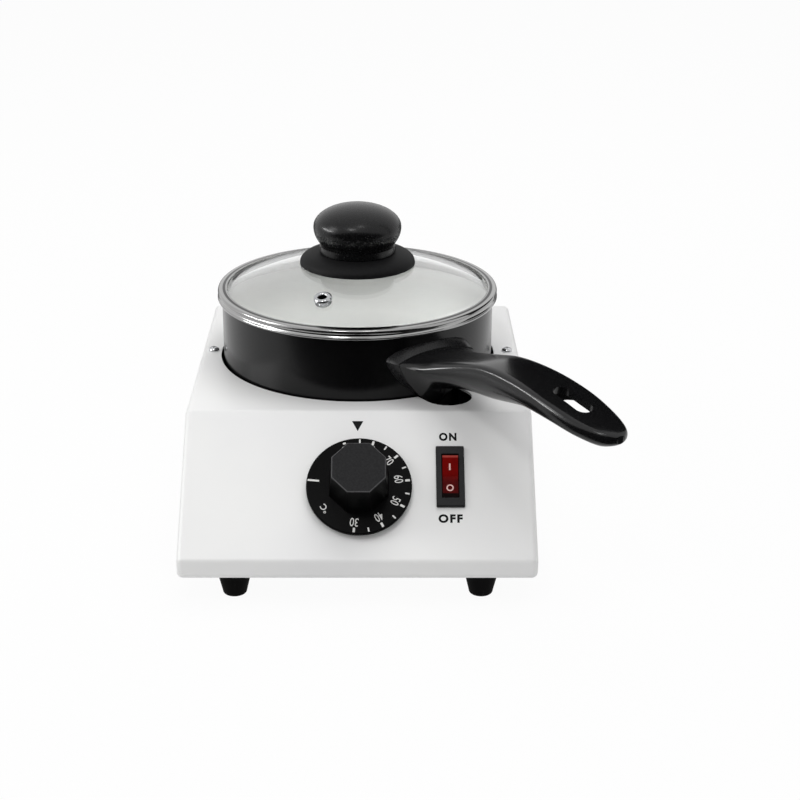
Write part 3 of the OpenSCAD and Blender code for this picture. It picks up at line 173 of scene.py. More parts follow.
def white_powder_coat():
    """Baked white powder coat: satin, with the faint orange peel of flowed powder, about 2 mm across."""
    peel_mm, cloud_mm, relief_mm = 2.0, 60, 0.01
    made, tree = blank("powder_coated_steel_white")
    place = add(tree, "TexCoord").outputs["Object"]
    peel = add(tree, "TexNoise", {
        "Vector": place, "Scale": 1000 / peel_mm, "Detail": 2.0, "Roughness": 0.5}).outputs["Fac"]
    cloud = add(tree, "TexNoise", {
        "Vector": place, "Scale": 1000 / cloud_mm, "Detail": 2.0, "Roughness": 0.5}).outputs["Fac"]
    dull = add(tree, "MapRange", {"Value": cloud, "To Min": 0.36, "To Max": 0.44})
    relief = add(tree, "Bump", {"Height": peel, "Distance": relief_mm * MM, "Strength": 1.0})
    shader = add(tree, "BsdfPrincipled", {
        "Base Color": two_tone(tree, cloud, "#EAEAEA", "#EEEEED"), "Roughness": dull.outputs["Result"],
        "Normal": relief.outputs["Normal"], "Specular IOR Level": 0.4})
    add(tree, "OutputMaterial", {"Surface": shader.outputs["BSDF"]})
    return made


def enamelled_pan_coat():
    """Pressed pan, baked black and satin outside with a pale matt lining inside, with painted shade greying
    the lining towards the brim.
    """
    # The lining is what lies within this radius and above this height. That also takes in a narrow band
    # round the outside of the foot, which the well hides until the pan is lifted
    lining_radius, lining_floor = 70.0 * MM, 49.0 * MM
    # Heights over which painted shade greys the lining towards the brim
    shade_low, shade_high = 74 * MM, 98 * MM
    grain_mm, relief_mm = 0.8, 0.004
    made, tree = blank("baked_enamel_black_with_pale_lining")
    place = add(tree, "TexCoord").outputs["Object"]
    radius = off_pan_axis(tree, place)
    height = add(tree, "SeparateXYZ", {"Vector": place}).outputs["Z"]
    within = add(tree, "Math", {0: radius, 1: lining_radius}, operation="LESS_THAN").outputs["Value"]
    above = add(tree, "Math", {0: height, 1: lining_floor}, operation="GREATER_THAN").outputs["Value"]
    lined = add(tree, "Math", {0: within, 1: above}, operation="MULTIPLY").outputs["Value"]
    grain = add(tree, "TexNoise", {
        "Vector": place, "Scale": 1000 / grain_mm, "Detail": 3.0, "Roughness": 0.6}).outputs["Fac"]
    black = two_tone(tree, grain, "#070708", "#0B0B0C")
    clean = two_tone(tree, grain, "#F6F6F4", "#FAFAF8")
    # Painted shade: the grey the lining turns to near the brim
    painted_shade_grey = two_tone(tree, grain, "#C4C4C2", "#CCCCCA")
    rise = add(tree, "MapRange", {
        "Value": height, "From Min": shade_low, "From Max": shade_high}).outputs["Result"]
    pale = add(tree, "Mix", {
        "Factor": rise, MIX_A: clean, MIX_B: painted_shade_grey}, data_type="RGBA").outputs[MIX_OUT]
    colour = add(tree, "Mix", {
        "Factor": lined, MIX_A: black, MIX_B: pale}, data_type="RGBA").outputs[MIX_OUT]
    dull = add(tree, "MapRange", {"Value": lined, "To Min": 0.22, "To Max": 0.5})
    relief = add(tree, "Bump", {"Height": grain, "Distance": relief_mm * MM, "Strength": 1.0})
    shader = add(tree, "BsdfPrincipled", {
        "Base Color": colour, "Roughness": dull.outputs["Result"],
        "Normal": relief.outputs["Normal"], "Specular IOR Level": 0.32})
    add(tree, "OutputMaterial", {"Surface": shader.outputs["BSDF"]})
    return made


def clear_glass():
    """Toughened soda-lime glass: clear, with a trace of wiping marks, and light falls through it."""
    wipe_mm = 25
    made, tree = blank("toughened_soda_lime_glass")
    place = add(tree, "TexCoord").outputs["Object"]
    wipe = add(tree, "TexNoise", {
        "Vector": place, "Scale": 1000 / wipe_mm, "Detail": 2.0, "Roughness": 0.5}).outputs["Fac"]
    shader = add(tree, "BsdfPrincipled", {
        "Base Color": two_tone(tree, wipe, "#FBFCFC", "#FFFFFF"),
        "Roughness": 0.0, "IOR": 1.5, "Transmission Weight": 1.0})
    clear = add(tree, "BsdfTransparent", {"Color": linear("#F2F4F3")})
    shade = add(tree, "LightPath").outputs["Is Shadow Ray"]
    thin = add(tree, "MixShader", {"Fac": shade, 1: shader.outputs["BSDF"], 2: clear.outputs["BSDF"]})
    add(tree, "OutputMaterial", {"Surface": thin.outputs["Shader"]})
    return made


def rolled_rim_steel():
    """Polished stainless band, rolled: fine lines run round it, 0.3 mm apart, and painted shade darkens its
    groove.
    """
    line_mm = 0.3
    # Radii between which the groove's painted shade lies
    groove_in, groove_out, fade = RIM_INNER + 0.8 * MM, RIM_INNER + 2.5 * MM, 0.3 * MM
    made, tree = blank("rolled_stainless_polished")
    place = add(tree, "TexCoord").outputs["Object"]
    radius = off_pan_axis(tree, place)
    height = add(tree, "SeparateXYZ", {"Vector": place}).outputs["Z"]
    around = add(tree, "CombineXYZ", {"X": radius, "Y": height}).outputs["Vector"]
    lines = add(tree, "TexNoise", {
        "Vector": around, "Scale": 1000 / line_mm, "Detail": 2.0, "Roughness": 0.5}).outputs["Fac"]
    dull = add(tree, "MapRange", {"Value": lines, "To Min": 0.08, "To Max": 0.2})
    steel = two_tone(tree, lines, "#929292", "#A6A6A5")
    # Painted shade laid in the groove
    dark = two_tone(tree, lines, "#1A1A1B", "#242425")
    inner = add(tree, "MapRange", {
        "Value": radius, "From Min": groove_in, "From Max": groove_in + fade}).outputs["Result"]
    outer = add(tree, "MapRange", {
        "Value": radius, "From Min": groove_out, "From Max": groove_out - fade}).outputs["Result"]
    groove = add(tree, "Math", {0: inner, 1: outer}, operation="MULTIPLY").outputs["Value"]
    colour = add(tree, "Mix", {
        "Factor": groove, MIX_A: steel, MIX_B: dark}, data_type="RGBA").outputs[MIX_OUT]
    shader = add(tree, "BsdfPrincipled", {
        "Base Color": colour, "Roughness": dull.outputs["Result"], "Metallic": 1.0})
    add(tree, "OutputMaterial", {"Surface": shader.outputs["BSDF"]})
    return made


def eyelet_steel():
    """Nickel-plated eyelet, pressed: bright round its roll, with painted shade down its bore."""
    turning_mm, bore_radius, roll_radius = 0.6, 2.0 * MM, 2.4 * MM
    made, tree = blank("pressed_eyelet_nickel")
    place = add(tree, "TexCoord").outputs["Object"]
    low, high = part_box("vent_eyelet")
    eyelet_axis = ((low + high) / 2 - DOME_MIDDLE).normalized()
    local = add(tree, "Mapping", {"Vector": place, "Location": -DOME_MIDDLE}).outputs["Vector"]
    off = add(tree, "VectorMath", {0: local, 1: eyelet_axis}, operation="CROSS_PRODUCT").outputs["Vector"]
    radius = add(tree, "VectorMath", {0: off}, operation="LENGTH").outputs["Value"]
    # Painted shade down the bore, fading in from the roll
    bore = add(tree, "MapRange", {
        "Value": radius, "From Min": roll_radius, "From Max": bore_radius}).outputs["Result"]
    turned = add(tree, "TexNoise", {
        "Vector": place, "Scale": 1000 / turning_mm, "Detail": 2.0, "Roughness": 0.5}).outputs["Fac"]
    nickel = two_tone(tree, turned, "#A6A7A9", "#B9BABC")
    # Colour of the painted shade in the bore
    dark = two_tone(tree, turned, "#0C0C0D", "#151516")
    colour = add(tree, "Mix", {
        "Factor": bore, MIX_A: nickel, MIX_B: dark}, data_type="RGBA").outputs[MIX_OUT]
    shader = add(tree, "BsdfPrincipled", {"Base Color": colour, "Roughness": 0.1, "Metallic": 1.0})
    add(tree, "OutputMaterial", {"Surface": shader.outputs["BSDF"]})
    return made


def dial_plastic():
    """Moulded black ABS: dark smooth skirt, and a textured grip face painted grey as lit, with a painted
    highlight along its bevelled rim.
    """
    # Heights above the panel at which the grip's bevel starts and its flat face begins
    bevel_low, bevel_high = 23.85 * MM, 24.05 * MM
    flat_low, flat_high = 24.35 * MM, 24.50 * MM
    grain_mm, relief_mm = 0.9, 0.02
    made, tree = blank("moulded_abs_black_dial")
    place = add(tree, "TexCoord").outputs["Object"]
    local = add(tree, "Mapping", {"Vector": place, "Location": -DIAL_STAND.translation}).outputs["Vector"]
    height = add(tree, "VectorMath", {0: local, 1: PANEL_OUT}, operation="DOT_PRODUCT").outputs["Value"]
    face = add(tree, "MapRange", {
        "Value": height, "From Min": bevel_low, "From Max": bevel_high}).outputs["Result"]
    inside = add(tree, "MapRange", {
        "Value": height, "From Min": flat_low, "From Max": flat_high}).outputs["Result"]
    grain = add(tree, "TexNoise", {
        "Vector": place, "Scale": 1000 / grain_mm, "Detail": 3.0, "Roughness": 0.6}).outputs["Fac"]
    skirt = two_tone(tree, grain, "#050506", "#090909")
    # Painted light: the grip's face is grey against the black skirt
    grip = two_tone(tree, grain, "#262627", "#2D2D2E")
    # Painted highlight along the grip face's bevel
    painted_edge_highlight = two_tone(tree, grain, "#4E4E4F", "#5A5A5B")
    top = add(tree, "Mix", {
        "Factor": inside, MIX_A: painted_edge_highlight, MIX_B: grip}, data_type="RGBA").outputs[MIX_OUT]
    colour = add(tree, "Mix", {
        "Factor": face, MIX_A: skirt, MIX_B: top}, data_type="RGBA").outputs[MIX_OUT]
    dull = add(tree, "MapRange", {"Value": face, "To Min": 0.34, "To Max": 0.55})
    relief = add(tree, "Bump", {"Height": grain, "Distance": relief_mm * MM, "Strength": 0.8})
    shader = add(tree, "BsdfPrincipled", {
        "Base Color": colour, "Roughness": dull.outputs["Result"],
        "Normal": relief.outputs["Normal"], "Specular IOR Level": 0.04})
    add(tree, "OutputMaterial", {"Surface": shader.outputs["BSDF"]})
    return made


def rocker_red():
    """Clear red polycarbonate: deep red, with painted light on its top half, a painted highlight along its
    top end, and painted shade where it dips in its frame.
    """
    cloud_mm = 3
    made, tree = blank("moulded_polycarbonate_red")
    place = add(tree, "TexCoord").outputs["Object"]
    local = add(tree, "Mapping", {"Vector": place, "Location": -SWITCH_STAND.translation}).outputs["Vector"]
    along = add(tree, "VectorMath", {0: local, 1: PANEL_UP}, operation="DOT_PRODUCT").outputs["Value"]
    across = add(tree, "SeparateXYZ", {"Vector": local}).outputs["X"]
    across = add(tree, "Math", {0: across}, operation="ABSOLUTE").outputs["Value"]
    # Each band fades in between two distances from the switch's middle, in millimetres
    fades = ((along, -3.0, 1.0), (along, 8.4, 8.8), (across, 3.6, 3.9),
             (along, -8.6, -9.0), (along, 9.4, 9.7))
    lit_top_half, edge_highlight, beside, below, above = [
        add(tree, "MapRange", {
            "Value": way, "From Min": start * MM, "From Max": full * MM}).outputs["Result"]
        for way, start, full in fades]
    ends = add(tree, "Math", {0: below, 1: above}, operation="MAXIMUM").outputs["Value"]
    sunk_shade = add(tree, "Math", {0: beside, 1: ends}, operation="MAXIMUM").outputs["Value"]
    cloud = add(tree, "TexNoise", {
        "Vector": place, "Scale": 1000 / cloud_mm, "Detail": 2.0, "Roughness": 0.5}).outputs["Fac"]
    colour = two_tone(tree, cloud, "#4C080A", "#560A0B")
    # Painted light: a lighter top half and a highlight along the top end; painted shade at the sides and
    # ends where it dips in its frame
    for band, first, second in ((lit_top_half, "#680706", "#740A08"), (edge_highlight, "#9A3A34", "#A6443D"),
                                (sunk_shade, "#0A0303", "#100404")):
        over = two_tone(tree, cloud, first, second)
        colour = add(tree, "Mix", {
            "Factor": band, MIX_A: colour, MIX_B: over}, data_type="RGBA").outputs[MIX_OUT]
    shader = add(tree, "BsdfPrincipled", {
        "Base Color": colour, "Roughness": 0.3, "Specular IOR Level": 0.02})
    add(tree, "OutputMaterial", {"Surface": shader.outputs["BSDF"]})
    return made


# Finish of each material slot: colours, grain in mm, roughness and its spread, relief in mm
FINISH = {
    "white_paint": white_powder_coat(),
    # Zinc-plated sheet: grey metal with blurred crystals about 6 mm across
    "zinc_sheet": grained("zinc_plated_sheet", "#8E9093", "#B2B4B6", 6, 0.38, 0.1, 0.004, metallic=1.0),
    # Nickel-plated fasteners: bright, with the last trace of turning
    "bright_steel": grained(
        "nickel_plated_steel_turned", "#B9BABC", "#D2D3D5", 0.5, 0.16, 0.05, 0.001, metallic=1.0),
    # Moulded rubber: black and dull
    "foot_rubber": grained(
        "moulded_nitrile_rubber", "#060606", "#0B0B0B", 0.8, 0.75, 0.08, 0.03, specular=0.06),
    # Spun aluminium, coloured black as painted shade, so that the gap round the pan stays dark
    "well_metal": grained(
        "spun_aluminium_black_for_gap_shade", "#101011", "#19191A", 1.2, 0.5, 0.08, 0.004, specular=0.2),
    # Mica sheet: golden brown flakes
    "heater_mica": grained("mica_sheet", "#8A6A3A", "#B08F5A", 3, 0.45, 0.12, 0.01),
    # Pressed ceramic fibre: off-white felt
    "fibre_pad": grained("pressed_ceramic_fibre", "#CFCABC", "#E4E0D4", 1.5, 0.9, 0.05, 0.2),
    # Drawn copper with a light bloom
    "copper": grained("drawn_copper", "#A5603F", "#C98A62", 4, 0.32, 0.1, 0.002, metallic=1.0),
    # Turned brass
    "brass": grained("turned_brass", "#B08F45", "#CDB063", 2, 0.28, 0.08, 0.002, metallic=1.0),
    # Phenolic thermostat case: dark brown with fine filler specks
    "case_plastic": grained("moulded_phenolic_brown", "#2C2622", "#3B342E", 0.7, 0.5, 0.08, 0.02),
    # Moulded polyamide: dark grey, spark-textured
    "switch_plastic": grained(
        "moulded_polyamide_black", "#1E1E1F", "#262627", 0.7, 0.5, 0.08, 0.02, specular=0.15),
    "dial_plastic": dial_plastic(),
    "rocker_red": rocker_red(),
    # Natural polyamide: milky and slightly glossy
    "block_plastic": grained("moulded_polyamide_natural", "#D8D3BF", "#E6E2D2", 2, 0.35, 0.06, 0.005),
    # Drawn sleeves on the wires
    "brown_sleeve": grained("drawn_sleeve_brown", "#4A2A18", "#5C3722", 1, 0.4, 0.06, 0.01),
    "blue_sleeve": grained("drawn_sleeve_blue", "#234E92", "#2F62AE", 1, 0.4, 0.06, 0.01),
    "green_sleeve": grained("drawn_sleeve_green", "#7C9A2E", "#9AB73E", 1, 0.4, 0.06, 0.01),
    "pan_coat": enamelled_pan_coat(),
    # Cast collar, painted satin black
    "collar_coat": grained(
        "cast_aluminium_painted_black", "#141415", "#1C1C1D", 0.9, 0.28, 0.06, 0.02, specular=0.3),
    # Compression-moulded phenolic: near black, satin, with fine filler specks
    "handle_phenolic": grained(
        "moulded_phenolic_black", "#0C0C0D", "#141415", 0.9, 0.18, 0.05, 0.02, specular=0.36),
    "lid_glass": clear_glass(),
    "rim_steel": rolled_rim_steel(),
    # Silicone washer: translucent grey, dull
    "washer_rubber": grained("moulded_silicone", "#8E8E8E", "#A2A2A2", 1.5, 0.6, 0.06, 0.01),
}
# Finishes of single pieces that share a slot with others
OWN = {
    # Knob: satin, with a coarse mottle that breaks up its highlight
    "turned_knob": grained(
        "moulded_phenolic_satin", "#0A0A0B", "#131314", 1.1, 0.26, 0.1, 0.015, specular=0.25),
    # Knob skirt: duller, finely mottled
    "turned_knob_skirt": grained(
        "moulded_phenolic_dull", "#0A0A0B", "#141415", 0.9, 0.6, 0.08, 0.03, specular=0.12),
    "pressed_eyelet": eyelet_steel(),
}
# Screen-printed inks: flat, with slightly uneven cover
BLACK_INK = grained("screen_ink_black", "#070708", "#0E0E0F", 1.0, 0.5, 0.05, 0.002, specular=0.1)
WHITE_INK = grained("screen_ink_white", "#D6D6D4", "#E4E4E2", 0.6, 0.5, 0.05, 0.002, specular=0.2)
# Hot-stamped foil of the rocker's marks: pale pink, a little glossier
PINK_INK = grained("hot_stamped_mark_pale", "#E3B4AE", "#EFC8C2", 0.6, 0.4, 0.05, 0.002, specular=0.3)

for row in frame["record"]["subparts"]:
    for holder in nodes[row["node"]].material_slots:
        holder.material = FINISH[row["material_slot"]]


# Smooth copies of the curved nodes

def only(*pieces):
    """Selects these pieces alone, with the first one active."""
    bpy.ops.object.select_all(action="DESELECT")
    for piece in pieces:
        piece.select_set(True)
    bpy.context.view_layer.objects.active = pieces[0]


def smooth_copy(node, name, angle, level_faces):
    """Copy of a node with its corners joined, so that light runs evenly over its curves."""
    only(nodes[node])
    bpy.ops.object.duplicate()
    piece = bpy.context.view_layer.objects.active
    piece.name = name
    body = piece["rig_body"]
    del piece["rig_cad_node"]
    bpy.ops.mesh.customdata_custom_splitnormals_clear()
    bpy.ops.object.mode_set(mode="EDIT")
    bpy.ops.mesh.select_all(action="SELECT")
    bpy.ops.mesh.remove_doubles(threshold=0.002 * MM)
    bpy.ops.object.mode_set(mode="OBJECT")
    bpy.ops.object.shade_smooth_by_angle(angle=math.radians(angle))
    if level_faces:
        even = piece.modifiers.new("even", "WEIGHTED_NORMAL")
        even.keep_sharp = True
        even.weight = 100
        bpy.ops.object.modifier_apply(modifier=even.name)
    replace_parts(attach(piece, body), node)
    return piece


# Each node's copy: its name, the angle up to which edges are smooth, and whether flat faces stay level
SMOOTH = {
    "housing_cover": ("folded_cover", 30, True), "pan": ("pressed_pan", 30, True),
    "pan_handle": ("moulded_handle", 42, False), "handle_collar": ("cast_collar", 42, False),
    "lid_glass": ("glass_dome", 30, False), "lid_rim": ("rolled_rim", 35, False),
    "knob_skirt": ("turned_knob_skirt", 30, True), "lid_knob": ("turned_knob", 30, False),
    "vent_eyelet": ("pressed_eyelet", 35, False), "deck_screws_set": ("domed_deck_screws", 35, False),
}
for node, (name, angle, level_faces) in SMOOTH.items():
    copy = smooth_copy(node, name, angle, level_faces)
    if name in OWN:
        copy.data.materials[0] = OWN[name]


# Printed marks, drawn in millimetres round the origin

PANEL_INK, DIAL_INK = 0.05, 0.06
# Share of a bar's width by which its corners are eased, and font size over letter height before the fit
CORNER_EASE, FONT_SHARE = 0.18, 1.4


def started(shape, **settings):
    """Adds a primitive with nothing else selected."""
    bpy.ops.object.select_all(action="DESELECT")
    shape(**settings)
    return bpy.context.view_layer.objects.active


def thickened(piece, thick):
    """Raises a flat outline to its thickness, with its faces outwards."""
    only(piece)
    bpy.ops.object.mode_set(mode="EDIT")
    bpy.ops.mesh.select_all(action="SELECT")
    bpy.ops.mesh.extrude_region_move(TRANSFORM_OT_translate={"value": (0, 0, thick)})
    bpy.ops.mesh.select_all(action="SELECT")
    bpy.ops.mesh.normals_make_consistent(inside=False)
    bpy.ops.object.mode_set(mode="OBJECT")
    return piece


def seat(piece, name, stand, body, finish, lay=None):
    """Puts a mark on its place and its body; lay gives the height of a surface that isn't flat."""
    piece.name = name
    if lay:
        for corner in piece.data.vertices:
            corner.co.z += lay(math.hypot(corner.co.x, corner.co.y))
    piece.data.transform(stand @ Matrix.Scale(MM, 4))
    piece.data.materials.clear()
    piece.data.materials.append(finish)
    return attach(piece, body)


def joined(pieces):
    """Several marks as one piece."""
    only(*pieces)
    bpy.ops.object.join()
    return bpy.context.view_layer.objects.active


def bar(width, length, thick):
    """Printed bar with eased corners, lying on the origin's level."""
    piece = started(bpy.ops.mesh.primitive_plane_add, size=1)
    piece.scale = (width, length, 1)
    bpy.ops.object.transform_apply(location=False, rotation=False, scale=True)
    bpy.ops.object.mode_set(mode="EDIT")
    bpy.ops.mesh.bevel(offset=width * CORNER_EASE, segments=2, affect="VERTICES")
    bpy.ops.object.mode_set(mode="OBJECT")
    return thickened(piece, thick)


def words(text, width, height, thick, weight, spacing=1.0):
    """Printed words, fitted to their measured width and height about the origin."""
    piece = started(bpy.ops.object.text_add)
    piece.data.body = text
    piece.data.size = height * FONT_SHARE
    piece.data.space_character = spacing
    piece.data.offset = weight
    piece.data.extrude = thick / 2
    piece.data.resolution_u = 6
    bpy.ops.object.convert(target="MESH")
    piece = bpy.context.view_layer.objects.active
    xs = [v.co.x for v in piece.data.vertices]
    ys = [v.co.y for v in piece.data.vertices]
    middle = Vector(((min(xs) + max(xs)) / 2, (min(ys) + max(ys)) / 2, -thick / 2))
    fit = Vector((width / (max(xs) - min(xs)), height / (max(ys) - min(ys)), 1))
    for corner in piece.data.vertices:
        corner.co = (corner.co - middle) * fit
    return piece


# Dial skirt: its height at the grip, its fall to the edge, and the radius of each
SKIRT_TOP, SKIRT_FALL = 5.0, 0.6
GRIP_RADIUS, SKIRT_RADIUS = 13.3, 24.81


def dial_cone(radius):
    """Height of the dial skirt's top above the panel."""
    return SKIRT_TOP - SKIRT_FALL * (radius - GRIP_RADIUS) / (SKIRT_RADIUS - GRIP_RADIUS)


def on_dial(piece, radius, turn):
    """Turns a mark to its place on the dial, its top outwards, at an angle round from the right."""
    piece.data.transform(
        Matrix.Rotation(math.radians(turn), 4, "Z") @ Matrix.Translation((radius, 0, 0))
        @ Matrix.Rotation(math.radians(-90), 4, "Z"))
    return piece


# Scale: width, length and radius of each kind of mark, and the turn of the first and from number to number
MAJOR_MARK, MINOR_MARK = (1.1, 2.3, 23.25), (0.75, 2.1, 23.4)
END_MARK, OFF_LINE = (1.5, 1.0, 23.3), (0.95, 5.6, 21.9)
FIRST_TURN, NUMBER_STEP, END_TURN, OFF_TURN = -95.6, 34.0, 108.0, 173.4
# The marks after the tenth lie one degree closer each
MARK_COUNT, EVEN_MARKS = 12, 10
turns = [FIRST_TURN + i * NUMBER_STEP / 2 - max(0, i + 1 - EVEN_MARKS) for i in range(MARK_COUNT)]
scale = [(MINOR_MARK if i % 2 else MAJOR_MARK, turn) for i, turn in enumerate(turns)]
scale += [(END_MARK, END_TURN), (OFF_LINE, OFF_TURN)]
marks = [on_dial(bar(width, length, DIAL_INK), radius, turn) for (width, length, radius), turn in scale]
seat(joined(marks), "dial_scale", DIAL_STAND, "dial", WHITE_INK, dial_cone)

# Numbers and unit: width, height, thickness and weight of each kind, then each one's radius and turn
NUMBER_FORM, UNIT_FORM = (4.0, 4.2, DIAL_INK, 0.02), (4.4, 3.2, DIAL_INK, 0.05)
LETTERING = (
    ("30", NUMBER_FORM, 19.4, -96.4), ("40", NUMBER_FORM, 19.1, -60.0), ("50", NUMBER_FORM, 19.2, -25.6),
    ("60", NUMBER_FORM, 19.1, 9.5), ("70", NUMBER_FORM, 19.1, 42.3), ("80", NUMBER_FORM, 19.7, 74.0),
    ("90", NUMBER_FORM, 19.7, 108.0), ("°C", UNIT_FORM, 20.3, 217.0))
numbers = [on_dial(words(text, *form), radius, turn) for text, form, radius, turn in LETTERING]
seat(joined(numbers), "dial_numbers", DIAL_STAND, "dial", WHITE_INK, dial_cone)

# Pointer: a triangle of unit radius, turned to point down the panel and drawn out to its size
POINTER_X, POINTER_S = -0.45, 71.83
POINTER_HALF, POINTER_TALL = 2.75, 5.4
UNIT_HALF, UNIT_TALL = math.sin(math.radians(60)), 1.5
pointer = started(bpy.ops.mesh.primitive_circle_add, vertices=3, radius=1, fill_type="NGON")
for corner in pointer.data.vertices:
    corner.co.x *= -POINTER_HALF / UNIT_HALF
    corner.co.y *= -POINTER_TALL / UNIT_TALL
seat(thickened(pointer, PANEL_INK), "dial_pointer", panel_frame(POINTER_X, POINTER_S, 0), "base", BLACK_INK)

# Switch words: width, height and place on the panel
WORD_WEIGHT, WORD_SPACING = 0.3, 1.25
for text, name, width, height, x, s in (("ON", "switch_on_word", 8.5, 4.4, 43.4, 65.1),
                                        ("OFF", "switch_off_word", 11.5, 4.45, 44.0, 21.7)):
    word = words(text, width, height, PANEL_INK, WORD_WEIGHT, WORD_SPACING)
    seat(word, name, panel_frame(x, s, 0), "base", BLACK_INK)

# Rocker marks: the upper half of the rocker leans out of the panel, the lower half lies along it
ROCKER_FACE, ROCKER_LEAN = 0.9, 20
ON_MARK_X, ON_MARK_S = 43.95, 47.75
OFF_MARK_X, OFF_MARK_S = 44.0, 37.4
ON_WIDTH, ON_LENGTH = 0.75, 3.2
RING_RADIUS, RING_WIDTH = 1.75, 0.6
on_height = ROCKER_FACE + (ON_MARK_S - SWITCH_S) * math.tan(math.radians(ROCKER_LEAN))
on_stand = panel_frame(ON_MARK_X, ON_MARK_S, on_height, ROCKER_LEAN)
off_stand = panel_frame(OFF_MARK_X, OFF_MARK_S, ROCKER_FACE)
seat(bar(ON_WIDTH, ON_LENGTH, PANEL_INK), "rocker_on_mark", on_stand, "rocker", PINK_INK)
ring = started(bpy.ops.mesh.primitive_circle_add, vertices=40, radius=RING_RADIUS, fill_type="NGON")
bpy.ops.object.mode_set(mode="EDIT")
bpy.ops.mesh.inset(thickness=RING_WIDTH)
bpy.ops.mesh.delete(type="FACE")
bpy.ops.object.mode_set(mode="OBJECT")
seat(thickened(ring, PANEL_INK), "rocker_off_mark", off_stand, "rocker", PINK_INK)


# Floor, light and camera

def seen_rays(tree):
    """1 for a ray that the camera, a reflection or the glass sees, and 0 for a ray that lights the tank."""
    path = add(tree, "LightPath").outputs
    either = add(tree, "Math", {0: path["Is Camera Ray"], 1: path["Is Glossy Ray"]}, operation="MAXIMUM")
    through = {0: either.outputs["Value"], 1: path["Is Transmission Ray"]}
    return add(tree, "Math", through, operation="MAXIMUM").outputs["Value"]


floor = started(bpy.ops.mesh.primitive_plane_add, size=16)
floor.name = "studio_floor"
# White paper sweep: it shows as white and keeps the tank's soft shadow
PAPER_GLOW = 0.95
paper, tree = blank("seamless_paper_white")
fibre = add(tree, "TexNoise", {"Vector": add(tree, "TexCoord").outputs["Object"], "Scale": 400.0})
lit = add(tree, "BsdfDiffuse", {"Color": two_tone(tree, fibre.outputs["Fac"], "#E4E4E4", "#E8E8E8")})
glow = add(tree, "Emission", {"Color": (1, 1, 1, 1), "Strength": 1.0})
soft = add(tree, "MixShader", {"Fac": PAPER_GLOW, 1: lit.outputs["BSDF"], 2: glow.outputs["Emission"]})
look = add(tree, "MixShader", {"Fac": seen_rays(tree), 1: lit.outputs["BSDF"], 2: soft.outputs["Shader"]})
add(tree, "OutputMaterial", {"Surface": look.outputs["Shader"]})
floor.data.materials.append(paper)

# White surroundings, which light the tank at half their strength
world = bpy.data.worlds.new("studio")
bpy.context.scene.world = world
world.use_nodes = True
tree = world.node_tree
tree.nodes.clear()
level = add(tree, "MapRange", {"Value": seen_rays(tree), "To Min": 0.5, "To Max": 1.0})
air = add(tree, "Background", {"Color": (1, 1, 1, 1), "Strength": level.outputs["Result"]})
add(tree, "OutputWorld", {"Surface": air.outputs["Background"]})


def soft_box(name, place, aim, width, height, power):
    """Rectangular lamp that faces a point, in metres and watts."""
    bpy.ops.object.light_add(type="AREA", location=place)
    lamp = bpy.context.view_layer.objects.active
    lamp.name = name
    lamp.data.shape = "RECTANGLE"
    lamp.data.size = width
    lamp.data.size_y = height
    lamp.data.energy = power
    lamp.rotation_euler = (Vector(aim) - Vector(place)).to_track_quat("-Z", "Y").to_euler()
    return lamp


soft_box("left_soft_box", (-1.2, -0.25, 0.8), (0, 0, 0.1), 0.4, 0.7, 4.0)
soft_box("front_soft_box", (-0.3, -0.75, 1.3), (0, 0, 0.08), 0.22, 0.22, 2.4)
soft_box("edge_soft_box", (0.1, -0.3, 1.25), (0.05, -0.05, 0.1), 0.14, 0.14, 0.6)
# Light from above and behind, kept out of the reflections
for lamp in (soft_box("top_soft_box", (0.2, 0.25, 1.35), (0, 0, 0.1), 1.1, 0.9, 6.6),
             soft_box("rear_soft_box", (0, 0.8, 1.2), (0, 0, 0.08), 0.8, 0.5, 1.5)):
    lamp.visible_glossy = lamp.visible_transmission = False
# Low strip that only reflections see, for the light line along the handle's crease
strip = soft_box("strip_soft_box", (-1.1, -0.05, 0.45), (0, -0.05, 0.1), 0.6, 0.1, 5.0)
strip.visible_diffuse = strip.visible_transmission = False

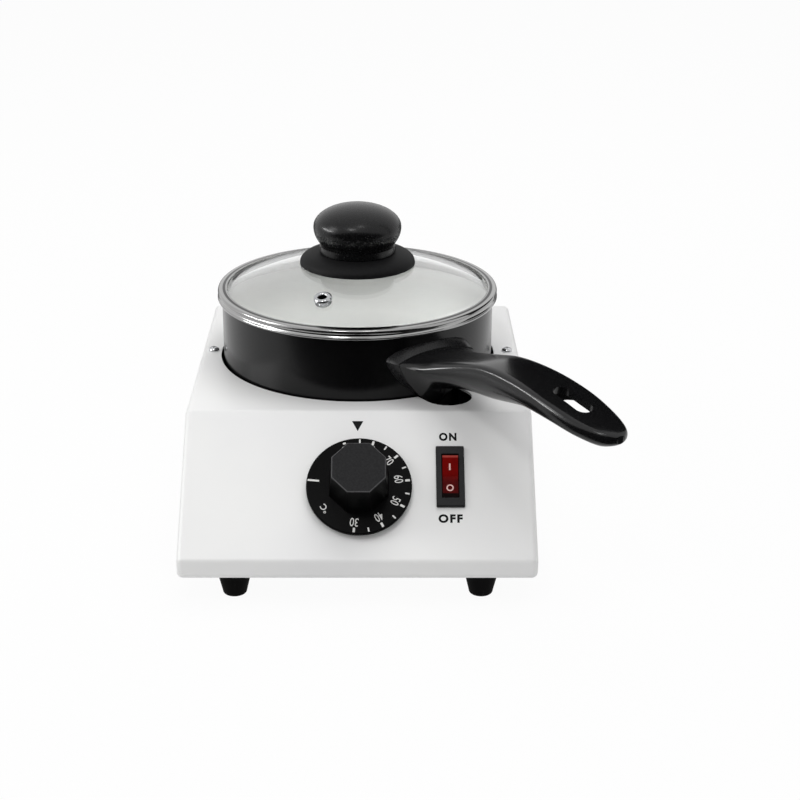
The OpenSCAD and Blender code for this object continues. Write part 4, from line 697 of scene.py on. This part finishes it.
# Pressed felt and card of the flags: dull, so that what reflects them shows an even dark or grey
FELT = grained("black_felt", "#030303", "#060606", 2.0, 0.9, 0.05, 0.1, specular=0.0)
CARD = grained("grey_card", "#8E8E8E", "#969696", 2.0, 0.9, 0.05, 0.02, specular=0.0)


def studio_flag(name, place, lean, width, length, cloth):
    """Flag that only reflections see: it gives the dark pieces and the rim their depth."""
    flag = started(bpy.ops.mesh.primitive_plane_add, size=1)
    flag.name = name
    flag.scale = (width, length, 1)
    flag.rotation_euler = (math.radians(lean), 0, 0)
    flag.location = place
    flag.visible_camera = flag.visible_diffuse = flag.visible_shadow = flag.visible_transmission = False
    flag.data.materials.append(cloth)


studio_flag("front_flag", (0, -1.23, 0.855), -38.5, 1.5, 2.73, FELT)
studio_flag("handle_flag", (0.158, 0.03, 0.225), 90, 0.20, 0.22, FELT)
studio_flag("rear_card", (0, 0.30, 0.075), 90, 0.5, 0.13, CARD)

# Camera of the photograph: its focal length in pixels, its angles in degrees and its place on the tank
SENSOR, IMAGE_PIXELS, FOCAL_PIXELS = 36.0, 800, 1643.32
PITCH, YAW, ROLL = math.radians(22.01740), math.radians(0.75991), math.radians(0.36963)
EYE = spot(10.33, -829.57, 381.91)
eye = bpy.data.cameras.new("photo_camera")
camera = bpy.data.objects.new("photo_camera", eye)
bpy.context.scene.collection.objects.link(camera)
bpy.context.scene.camera = camera
eye.sensor_width = SENSOR
eye.lens = SENSOR * FOCAL_PIXELS / IMAGE_PIXELS
eye.clip_start = 0.05
eye.clip_end = 40
forward = Vector((math.sin(YAW) * math.cos(PITCH), math.cos(YAW) * math.cos(PITCH), -math.sin(PITCH)))
level_right = Vector((math.cos(YAW), -math.sin(YAW), 0))
level_up = level_right.cross(forward)
right = math.cos(ROLL) * level_right + math.sin(ROLL) * level_up
up = -math.sin(ROLL) * level_right + math.cos(ROLL) * level_up
camera.matrix_world = Matrix.Translation(EYE) @ Matrix((right, up, -forward)).transposed().to_4x4()

bpy.context.scene.view_settings.view_transform = "Standard"
